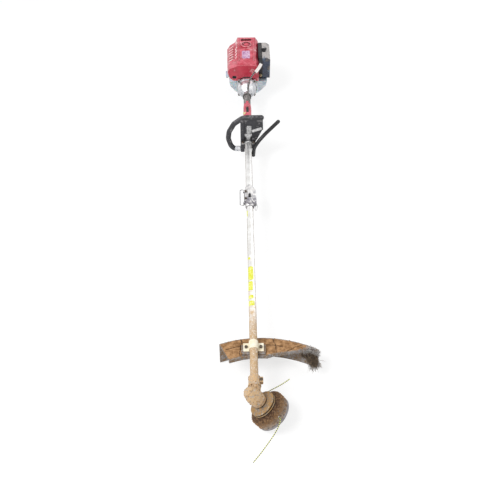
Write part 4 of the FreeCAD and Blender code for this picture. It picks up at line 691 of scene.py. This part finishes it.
# Its sides and underside are painted a brownish grey: a painted reflection of dark surroundings.
lay_dust_and_painted_light(tube_anodised, "#6F645B", "#A99D92", 0.95, 30, facing=(0.6, 0.25))
dress(tube_anodised, "upper_tube")

# The lower half is the same bright metal, with the same painted reflection on its sides and underside,
# browned and then caked towards its end.
tube_soiled = surface_of("anodised_tube_lower", "#E4E2DE", "#F6F6F5", 26, (0.3, 0.48), 1.4, 0.05,
                         Metallic=1.0)
# A brownish grey on its sides and underside is a painted reflection of dark surroundings.
lay_dust_and_painted_light(tube_soiled, "#6F5F52", "#A99684", 0.95, 30, facing=(0.62, 0.25))
lay_dust_and_painted_light(tube_soiled, "#D9BE98", "#F0E0C4", 0.6, 16, facing=(-1.2, -0.6), between=((0, 1, 0), -1.2, -1.5))
lay_dust_and_painted_light(tube_soiled, "#A37748", "#E6CDA6", 0.95, 5, facing=(-1.3, -1.0), between=((0, 1, 0), -1.4, -1.54),
        relief_mm=0.6)
dress(tube_soiled, "lower_tube")

# The sleeve's rubber is charcoal grey and matt, with pale dust on its ribs.
sleeve_rubber = surface_of("ribbed_sleeve_rubber", "#3A3838", "#5C5A5A", 7, (0.5, 0.7), 1.2, 0.15, IOR=1.52)
lay_dust_and_painted_light(sleeve_rubber, "#8B8684", "#B9B4B1", 0.8, 8, facing=(-0.2, 0.9))
dress(sleeve_rubber, "tube_sleeve")
dress(boot_rubber, "lock_button")

# Blank yellow vinyl bands stand where the tube's stickers are, wrapped over its top.
sticker_yellow = surface_of("yellow_vinyl_sticker", "#DDE02A", "#F4F27A", 7, (0.3, 0.45), 3, 0.03, IOR=1.5)
lay_dust_and_painted_light(sticker_yellow, "#E9E4C8", "#FBF8EE", 0.45, 7, facing=(-0.4, 0.4))
STICKER_GAP = 0.05
LOWER_R = (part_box("lower_tube")[1].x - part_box("lower_tube")[0].x) / 2 / MM


def on_tube(radius, y, turn):
    """Places a sheet on a tube: turn is the angle of its middle from the top, towards +X."""
    def place(u, v, w):
        """u goes round the tube, v along it and w out of it."""
        angle = math.radians(turn) + u / radius
        return at((radius + w) * math.sin(angle), y + v, (radius + w) * math.cos(angle))
    return place


for i, (y, length, width, turn) in enumerate(((-985, 30, 7, -62), (-1213, 11, 10, -42), (-1282, 60, 22, -22),
                                              (-1337, 38, 20, -30), (-1385, 15, 20, -25),
                                              (-1411, 20, 24, -20))):
    slab(f"tube_sticker_{i + 1}", on_tube(LOWER_R + STICKER_GAP, y, turn), width, length, 2.0, 0.2,
         sticker_yellow, "root", columns=16)


# ---------- throttle and its controls ----------

# Two nylon halves are screwed round the tube: the upper one red, the lower one black. The
# trigger is below, its lockout on top, and the pale stop switch at the operator's thumb.
dress(black_nylon, "throttle_lower", "throttle_trigger", "lockout_lever")

# Acetal: cream, smooth and a little waxy.
switch_pom = surface_of("cream_acetal", "#D8C77C", "#F2E8B2", 5, (0.3, 0.4), 1.2, 0.05, IOR=1.48)
dress(switch_pom, "stop_switch")

# A small blank cream mark lies on the right shoulder of the red half.
throttle_low, throttle_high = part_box("throttle_upper")
THROTTLE_R = (throttle_high.x - throttle_low.x) / 2 / MM
slab("throttle_mark", on_tube(THROTTLE_R + STICKER_GAP, -357, -42), 9, 14, 2, 0.3, switch_pom, "root",
     columns=6)


# ---------- loop handle ----------

# A rubbery nylon loop with a steel core, open to the right, with a flat panel between its
# top and the tube. A pressed steel cap and four screws clamp it down. Its skin has a fine
# matt grain, rubbed grey on its edges and dusty on top.
handle_rubber = surface_of("soft_touch_nylon", "#1E1E22", "#36363B", 22, (0.45, 0.65), 1.8, 0.16, edge_mm=2.0,
                           edge_wear_and_glint="#7C7A7C", IOR=1.53)
lay_dust_and_painted_light(handle_rubber, "#6B6869", "#98959A", 0.6, 16, facing=(0.3, 1.0))
dress(handle_rubber, "loop_handle")

# Zinc-plated steel: bright and clean, with a fine grain.
bright_steel = surface_of("zinc_plated_steel", "#9A9A9A", "#D2D2D2", 7, (0.28, 0.45), 1.0, 0.06, Metallic=1.0)
dress(bright_steel, "handle_clamp", "strap_ring", "line_cutter")

# Screw heads are dull brown with rust, and grey where a key has turned them.
browned_steel = surface_of("browned_screw_steel", "#3E332B", "#8E8479", 4, (0.4, 0.6), 1.0, 0.08,
                           Metallic=1.0)
dress(browned_steel, "cap_screws")

# The barrier bar is black painted steel tube, chipped at its tip.
bar_paint = surface_of("black_stoved_paint", "#101012", "#242427", 20, (0.35, 0.5), 2.0, 0.08, IOR=1.5)
lay_dust_and_painted_light(bar_paint, "#3D3B3A", "#5C5957", 0.4, 12, facing=(0.3, 1.0))
dress(bar_paint, "barrier_bar")

# The label on the panel is blank foil with a satin silver face.
label_silver = surface_of("silver_label_foil", "#B4B4B6", "#E6E6E6", 9, (0.3, 0.5), 2.5, 0.05, Metallic=0.3)
LABEL_RISE = math.atan2(20, 52)
HANDLE_Y = (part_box("loop_handle")[0].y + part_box("loop_handle")[1].y) / 2 / MM
PANEL_FRONT = 9.1        # from the handle's middle to what lies on its panel
STRAP_FRONT = 11         # and to what stands on the strap


def on_panel(u, v, w):
    """The blank strip runs across the panel's front and climbs to the right."""
    x = 37 + v * math.cos(LABEL_RISE) - u * math.sin(LABEL_RISE)
    h = 60 + v * math.sin(LABEL_RISE) + u * math.cos(LABEL_RISE)
    return at(x, HANDLE_Y - PANEL_FRONT - w, h)


slab("handle_label", on_panel, 13, 44, 2, 0.3, label_silver, "root")

# A plated strap stands up the panel's front over the tube, with two pressed ribs and a lip.
slab("handle_strap", lambda u, v, w: at(4 + u, HANDLE_Y - PANEL_FRONT - w, 60 + v), 20, 46, 3, 1.4,
     bright_steel, "root")
for i, x in enumerate((-1.5, 9.5)):
    bar_between(f"strap_rib_{i + 1}", at(x, HANDLE_Y - STRAP_FRONT, 41), at(x, HANDLE_Y - STRAP_FRONT, 74),
                3.6, 2.0, bright_steel, "root")
bar_between("strap_lip", at(-6, HANDLE_Y - STRAP_FRONT, 80), at(14, HANDLE_Y - STRAP_FRONT, 80), 5, 3.0,
            bright_steel, "root")

# The loop's lower end is gripped by a bare die-cast sleeve.
end_line = np.array([at(-59, HANDLE_Y, -47), at(-46, HANDLE_Y, -47), at(-33.5, HANDLE_Y, -47)])
END_LENGTH = 25.5 * MM


def end_radius(along, turn):
    """A plain sleeve with rounded ends."""
    rim = min(along, END_LENGTH - along) / (2.5 * MM)
    return (11.15 + 0.7 * min(1.0, math.sqrt(max(0.0, rim)))) * MM


tube("loop_end_sleeve", end_line, 0.6 * MM, end_radius, cast_aluminium, "root", around=40)


# ---------- coupler ----------

# The two tubes meet in a die-cast coupler. A spring button locks the lower one in, two cap
# screws clamp it, and a bent wire ring takes the shoulder strap's hook. The casting is pale
# and weathered; its faces that turn sideways and down are darkened by grime and painted shade, and painted
# shade darkens its corners.
coupler_aluminium = surface_of("weathered_casting", "#C4C3C6", "#F6F4F1", 13, (0.32, 0.55), 1.5, 0.2,
                               edge_mm=1.5, Metallic=1.0)
lay_dust_and_painted_light(coupler_aluminium, "#6A6468", "#9A9494", 0.9, 9, facing=(0.7, -0.2))
lay_dust_and_painted_light(coupler_aluminium, "#6A6873", "#A3A0A8", 0.75, 12, facing=(-1.3, -1.0),
        between=((0, 1, 0), -0.885, -0.915))
paint_crevice_shade(coupler_aluminium, "#3A3432", 7, 0.9)
dress(coupler_aluminium, "coupler_body")

# A loop of thin galvanised wire, twisted on by hand, hangs at the coupler's lower end.
WIRE_R = 0.8
loop_points = []
for i in range(33):
    a = math.tau * i / 32
    swell = 1 + 0.12 * math.sin(2 * a)
    loop_points.append(at(24.5 + 4.2 * math.cos(a) * swell, -950 + 20 * math.sin(a),
                          5 + 5 * math.cos(a + 0.6)))
tube("wire_loop", np.array(loop_points), 1.2 * MM, lambda along, turn: WIRE_R * MM, bright_steel, "root",
     around=10)


# ---------- shield ----------

# A curved polypropylene guard hangs under the tube on a cream steel bracket. Dried soil
# covers its top; along the front edge the grey plastic shows.
shield_plastic = surface_of("soiled_shield_plastic", "#7C7878", "#A9A5A4", 14, (0.5, 0.7), 2.0, 0.15,
                            IOR=1.49)
lay_dust_and_painted_light(shield_plastic, "#6F5740", "#A58866", 0.72, 9, facing=(-1.3, -1.0), relief_mm=1.2)
# Painted shade darkens its corners and gaps.
paint_crevice_shade(shield_plastic, "#2E2119", 9, 0.8)
dress(shield_plastic, "shield")

# Cream paint on the bracket has an even satin skin, stained by soil.
bracket_paint = surface_of("cream_painted_steel", "#F0E2C2", "#FFFAE8", 16, (0.4, 0.55), 2.0, 0.08, IOR=1.5)
lay_dust_and_painted_light(bracket_paint, "#B08A58", "#D3B384", 0.35, 8, facing=(-1.2, -0.5), relief_mm=0.4)
dress(bracket_paint, "shield_bracket")

# Dry earth: granular and dead matt, paler where it has dried out.
dry_soil = surface_of("dry_soil", "#86613C", "#C0956A", 12, (0.92, 1.0), 1.6, 0.8)
# Its cracks, and the groove beside the hidden rib, are painted near black: painted shade.
toned(dry_soil, "#2E1D10", 0.2, 0.75)
SHIELD_R, SHIELD_DEPTH, SHIELD_TILT = 330.0, 86.0, math.radians(15.7)
SHIELD_LEFT, SHIELD_RIGHT = 23.5, 35.5
SHIELD_CENTRE = (20, -1516, -40)
RIB_R = 302.5            # middle of the raised rib that the soil hides
DEGREE_MM = 5.76         # a degree along the shield's back edge
random.seed(41)


def on_shield(deg, r, up):
    """A point on the shield's top: degrees to the right of its middle, radius and height."""
    a = math.radians(90 - deg)
    x, y, z = r * math.cos(a), r * math.sin(a) - SHIELD_R, up
    c, s = math.cos(SHIELD_TILT), math.sin(SHIELD_TILT)
    return at(SHIELD_CENTRE[0] + x, SHIELD_CENTRE[1] + y * c + z * s, SHIELD_CENTRE[2] - y * s + z * c)


def front_edge(deg):
    """Radius of the plate's front edge, which runs out to the skirt at the right end."""
    return float(np.interp(deg, (6, 12, 19.4, 26, 31), (SHIELD_R - SHIELD_DEPTH, 257, 272, 295, 316)))


def crust_height(deg, r):
    """Thickness of the soil, lumpy and thin at its edges, and how deep it is cracked there."""
    p = Vector((deg * DEGREE_MM, r, 0))
    thick = 1.5 + 1.3 * noise.fractal(p * 0.06, 1.0, 2.0, 5) + 0.5 * noise.noise(p * 0.4)
    split = 0.0
    for crack, lean, width in ((-12.5, 0.3, 1.3), (-8.5, -0.5, 1.0), (10.5, -0.35, 1.3), (20.5, 0.9, 1.8),
                               (25.5, 0.5, 1.0)):
        off = abs((deg - crack) * DEGREE_MM - lean * (r - 290) - 5 * noise.noise(p * 0.04))
        split = max(split, 1 - off / (width + 1.2))
    if -22 < deg < -9 or 4 < deg < 15:
        off = abs(r - 295.5 + 1.5 * noise.noise(Vector((deg * 0.5, 0, 3))))
        split = max(split, 1 - off / 2.4)
    thick -= 1.7 * max(0.0, split)
    ends = min(deg + SHIELD_LEFT, SHIELD_RIGHT - deg) * DEGREE_MM
    sides = min(r - front_edge(deg) - 4, SHIELD_R - 1 - r)
    edge = min(1.0, max(0.0, min(ends, sides)) / 7)
    thick = max(thick, 3.0 * min(1.0, max(0.0, 2.6 - abs(r - RIB_R) / 2.5)))
    local_x = r * math.sin(math.radians(deg))
    pad = max(abs(local_x + 20) - 38, abs(r - (SHIELD_R - SHIELD_DEPTH + 24)) - 20) / 3
    edge *= min(1.0, max(0.0, pad))
    return -0.7 + (max(0.25, thick) + 0.8) * edge, max(0.0, split)


rows, columns = 40, 170
crust_points, crack_shade_tones = [], []
for level in (1, 0):
    for i in range(rows + 1):
        for j in range(columns + 1):
            deg = -SHIELD_LEFT + 0.15 + (SHIELD_LEFT + SHIELD_RIGHT - 0.3) * j / columns
            r = front_edge(deg) + 5 + (SHIELD_R - 6 - front_edge(deg)) * i / rows
            height, split = crust_height(deg, r)
            crust_points.append(on_shield(deg, r, height if level else -0.9))
            crack_shade_tones.append(split)
# The tone of each point is the depth of a crack or groove there, which sets the painted shade.
crust = piece("shield_soil", crust_points, sheet_faces(rows, columns), dry_soil, "root")
crust.data.attributes.new("tone", "FLOAT", "POINT").data.foreach_set("value", crack_shade_tones)


# Cut grass has dried in a mat round the line cutter at the shield's right end. Brown stalks
# hang below it, and grey chaff stands on its corner.
def blade(points, faces, root, lean, length, width):
    """One dry blade: a folded strip that bends over as it leaves its root."""
    heading = lean.normalized()
    side = heading.cross(Vector((random.uniform(-1, 1), random.uniform(-1, 1), 0.3))).normalized()
    droop = Vector((random.uniform(-0.4, 0.4), random.uniform(-0.4, 0.4), random.uniform(-0.7, 0.3)))
    place = Vector(root)
    first = len(points)
    steps = 6
    for i in range(steps + 1):
        share = i / steps
        half = width * (1 - 0.85 * share) / 2 * MM
        fold = heading.cross(side) * half * 0.7
        points += [place - side * half, place + fold, place + side * half]
        if i < steps:
            a = first + 3 * i
            faces += [(a, a + 1, a + 4, a + 3), (a + 1, a + 2, a + 5, a + 4)]
        heading = (heading + droop * 0.28).normalized()
        place = place + heading * length / steps * MM
        place.z = max(place.z, 1.2 * MM)


# Dry straw is dull brown, and its darkest tone is painted near black as the shade inside the mat; chaff is
# bleached grey.
shaded_straw = surface_of("dry_straw_with_painted_shade", "#2A1E1A", "#9A866E", 6, (0.7, 0.9), 1.0, 0.2)
chaff = surface_of("grey_chaff", "#A8A4A2", "#F2EEEA", 5, (0.8, 1.0), 1.0, 0.3)
TIP = Vector((0.203, -1.634, 0.074))      # where the longest stalks meet
BUNCHED = 0.22                            # share of the stalks that lean that way
for name, material, count, degs, depth, heights, size, up in (
        ("grass_stalks", shaded_straw, 1300, (26.5, 35.2), 330, (-30, -4), (7, 15), -0.5),
        ("grass_chaff", chaff, 900, (27.5, 35.6), 330, (-14, 1), (6, 15), 0.5),
        ("edge_chaff", chaff, 900, (-4, 31), 5, (-8, 0.5), (3, 7), -0.2)):
    points, faces = [], []
    for _ in range(count):
        deg = random.uniform(*degs)
        near = front_edge(deg) + 2
        r = random.uniform(near, min(near + depth, SHIELD_R - 4))
        root = on_shield(deg, r, random.uniform(*heights))
        lean = Vector((random.uniform(-0.5, 0.9), random.uniform(-1, 0.3), up * random.uniform(0.2, 1.2)))
        length = random.uniform(*size)
        if name == "grass_stalks" and random.random() < BUNCHED:
            lean = TIP - root
            length = lean.length / MM * random.uniform(0.6, 1.05)
            lean = lean.normalized() + Vector([random.uniform(-0.06, 0.06) for _ in range(3)])
        blade(points, faces, root, lean, length, random.uniform(0.8, 2.6))
    mat = piece(name, points, faces, material, "root", smooth=False)
    thicken = mat.modifiers.new("blade_thickness", "SOLIDIFY")
    thicken.thickness = 0.25 * MM


# ---------- gear case ----------

# A die-cast right-angle case is clamped on the end of the tube by one screw. Wet soil has
# dried on it in a brown skin, rubbed thin on its rounded end.
case_soiled = surface_of("soiled_gear_casting", "#9A9793", "#C9C6C2", 12, (0.4, 0.6), 1.6, 0.2, Metallic=1.0)
lay_dust_and_painted_light(case_soiled, "#B58A58", "#EBCFA8", 0.95, 7, facing=(-1.3, -1.0), relief_mm=1.0)
# Painted shade darkens its corners and the gaps beside it.
paint_crevice_shade(case_soiled, "#4A2C14", 8, 0.9)
dress(case_soiled, "gear_case")


# ---------- cutting head ----------

# Two nylon shells snap together round the spool, and the knob below feeds line when it is
# bumped. The upper shell is caked with soil; the lower is scoured to a dusty grey.
head_soiled = surface_of("soiled_head_nylon", "#4A4038", "#6A6058", 12, (0.6, 0.8), 1.8, 0.2, IOR=1.53)
head_start = GEAR_CENTRE.dot(OUT_AXIS)
lay_dust_and_painted_light(head_soiled, "#8F7A68", "#B5A79A", 0.8, 7, facing=(-1.3, -1.0))
lay_dust_and_painted_light(head_soiled, "#4E3118", "#B08A60", 1.0, 7, facing=(-1.3, -1.0), relief_mm=2.0,
        between=(tuple(OUT_AXIS), head_start + 0.078, head_start + 0.062))
# The end of the shell nearest the disc is painted very dark brown: painted shade of the gap under the disc.
lay_dust_and_painted_light(head_soiled, "#1E0E06", "#5A3A20", 0.85, 5, facing=(-1.3, -1.0), relief_mm=1.0,
        between=(tuple(OUT_AXIS), head_start + 0.064, head_start + 0.052))
# Painted shade darkens the shell's corners.
paint_crevice_shade(head_soiled, "#1E0C04", 9, 0.95)
dress(head_soiled, "head_housing", "spool")

# The steel disc is stained with soil. Its rim is painted pale, as wear to bare metal and as painted
# highlight, and painted shade darkens its corners.
disc_soiled = surface_of("soiled_steel_disc", "#7A7672", "#A9A49E", 9, (0.5, 0.7), 1.4, 0.1, edge_mm=2.2,
                         edge_wear_and_glint="#F2DAB2", Metallic=1.0)
lay_dust_and_painted_light(disc_soiled, "#7E5A30", "#C9A36E", 0.82, 10, facing=(-1.3, -1.0), relief_mm=0.8)
paint_crevice_shade(disc_soiled, "#1E0C04", 7, 1.0)
dress(disc_soiled, "head_holder")

# Scoured nylon is grey and matt, with fine scratches.
head_scoured = surface_of("scoured_head_nylon", "#7F7A7C", "#A9A4A6", 10, (0.55, 0.75), 1.6, 0.2, IOR=1.53)
lay_dust_and_painted_light(head_scoured, "#8B7560", "#B3A08A", 0.3, 9, facing=(-1.3, -1.0), relief_mm=0.6)
dress(head_scoured, "head_cover", "bump_knob")

# A wound steel spring inside the shell holds the spool down, and shortens when it is bumped.
SPRING_FROM, SPRING_TALL, SPRING_R = 53.3, 22.4, 14.5
coil_points = []
for i in range(161):
    a = 10 * math.pi * i / 160
    coil_points.append(head_point(SPRING_FROM + SPRING_TALL * i / 160, SPRING_R * math.cos(a),
                                  SPRING_R * math.sin(a)))
coil = tube("head_spring_coil", np.array(coil_points), 1.2 * MM, lambda along, turn: 1.0 * MM, ground_steel,
            "cutting_head", around=10)
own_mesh(coil)
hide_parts("head_spring")

# A rolled steel eye lines each hole that the line runs through.
EYE_OUT = 59.6
for name, side in (("eyelet_a", -1), ("eyelet_b", 1)):
    ring_points, ring_faces = [], []
    major, minor, turns, around = 3.0, 0.9, 28, 12
    for i in range(turns):
        a = math.tau * i / turns
        for j in range(around):
            b = math.tau * j / around
            r = major + minor * math.cos(b)
            ring_points.append(head_point(EYE_ALONG + r * math.cos(a), side * (EYE_OUT + minor * math.sin(b)),
                                          side * r * math.sin(a)))
    for i in range(turns):
        for j in range(around):
            k, m = (i + 1) % turns, (j + 1) % around
            ring_faces.append((i * around + j, k * around + j, k * around + m, i * around + m))
    piece(name, ring_points, ring_faces, bright_steel, "cutting_head")


# ---------- soil crumbs ----------

# Crumbs of dried earth cling to the shield, the gear case and the head. Each is a small
# broken lump that is half sunk in the skin of soil under it.
def crumbs(name, node, count, sizes, body, lowest=-1.0, within=None):
    """Scatters lumps on a CAD node's faces that look up at least as much as lowest, at the
    spots that within allows."""
    mesh = frame["nodes"][node].data
    choices = [face for face in mesh.polygons if face.normal.z >= lowest]
    weights = [face.area for face in choices]
    ball = bmesh.new()
    bmesh.ops.create_icosphere(ball, subdivisions=1, radius=1.0)
    shape = [v.co.copy() for v in ball.verts]
    sides = [[v.index for v in f.verts] for f in ball.faces]
    ball.free()
    points, faces = [], []
    for face in random.choices(choices, weights, k=count):
        corners = [mesh.vertices[i].co for i in random.sample(list(face.vertices), 3)]
        a, b = sorted((random.random(), random.random()))
        spot = corners[0] * a + corners[1] * (b - a) + corners[2] * (1 - b)
        if within and not within(spot):
            continue
        size = random.uniform(*sizes) * MM
        stretch = Vector((random.uniform(0.6, 1.4), random.uniform(0.6, 1.4), random.uniform(0.5, 0.9)))
        tumble = Euler([random.uniform(0, math.tau) for _ in range(3)])
        first = len(points)
        for p in shape:
            lump = Vector((p.x * stretch.x, p.y * stretch.y, p.z * stretch.z)) * random.uniform(0.75, 1.15)
            lump.rotate(tumble)
            points.append(spot + face.normal * size * 0.25 + lump * size)
        faces += [[first + i for i in side] for side in sides]
    return piece(name, points, faces, dry_soil, body)


HEAD_WALL_R = 57.5


def outside_head(p):
    """True on the head's outer wall, and false inside the shell."""
    q = p - GEAR_CENTRE
    return (q - OUT_AXIS * q.dot(OUT_AXIS)).length > HEAD_WALL_R * MM


crumbs("gear_case_crumbs", "gear_case", 260, (0.6, 2.0), "root", lowest=-0.6)
crumbs("tube_crumbs", "lower_tube", 800, (0.3, 0.9), "root", lowest=0.1, within=lambda p: p.y < -1.45)
crumbs("shield_crumbs", "shield", 260, (0.6, 2.4), "root", lowest=0.5)
crumbs("head_crumbs", "head_housing", 1100, (0.6, 2.2), "cutting_head", within=outside_head)
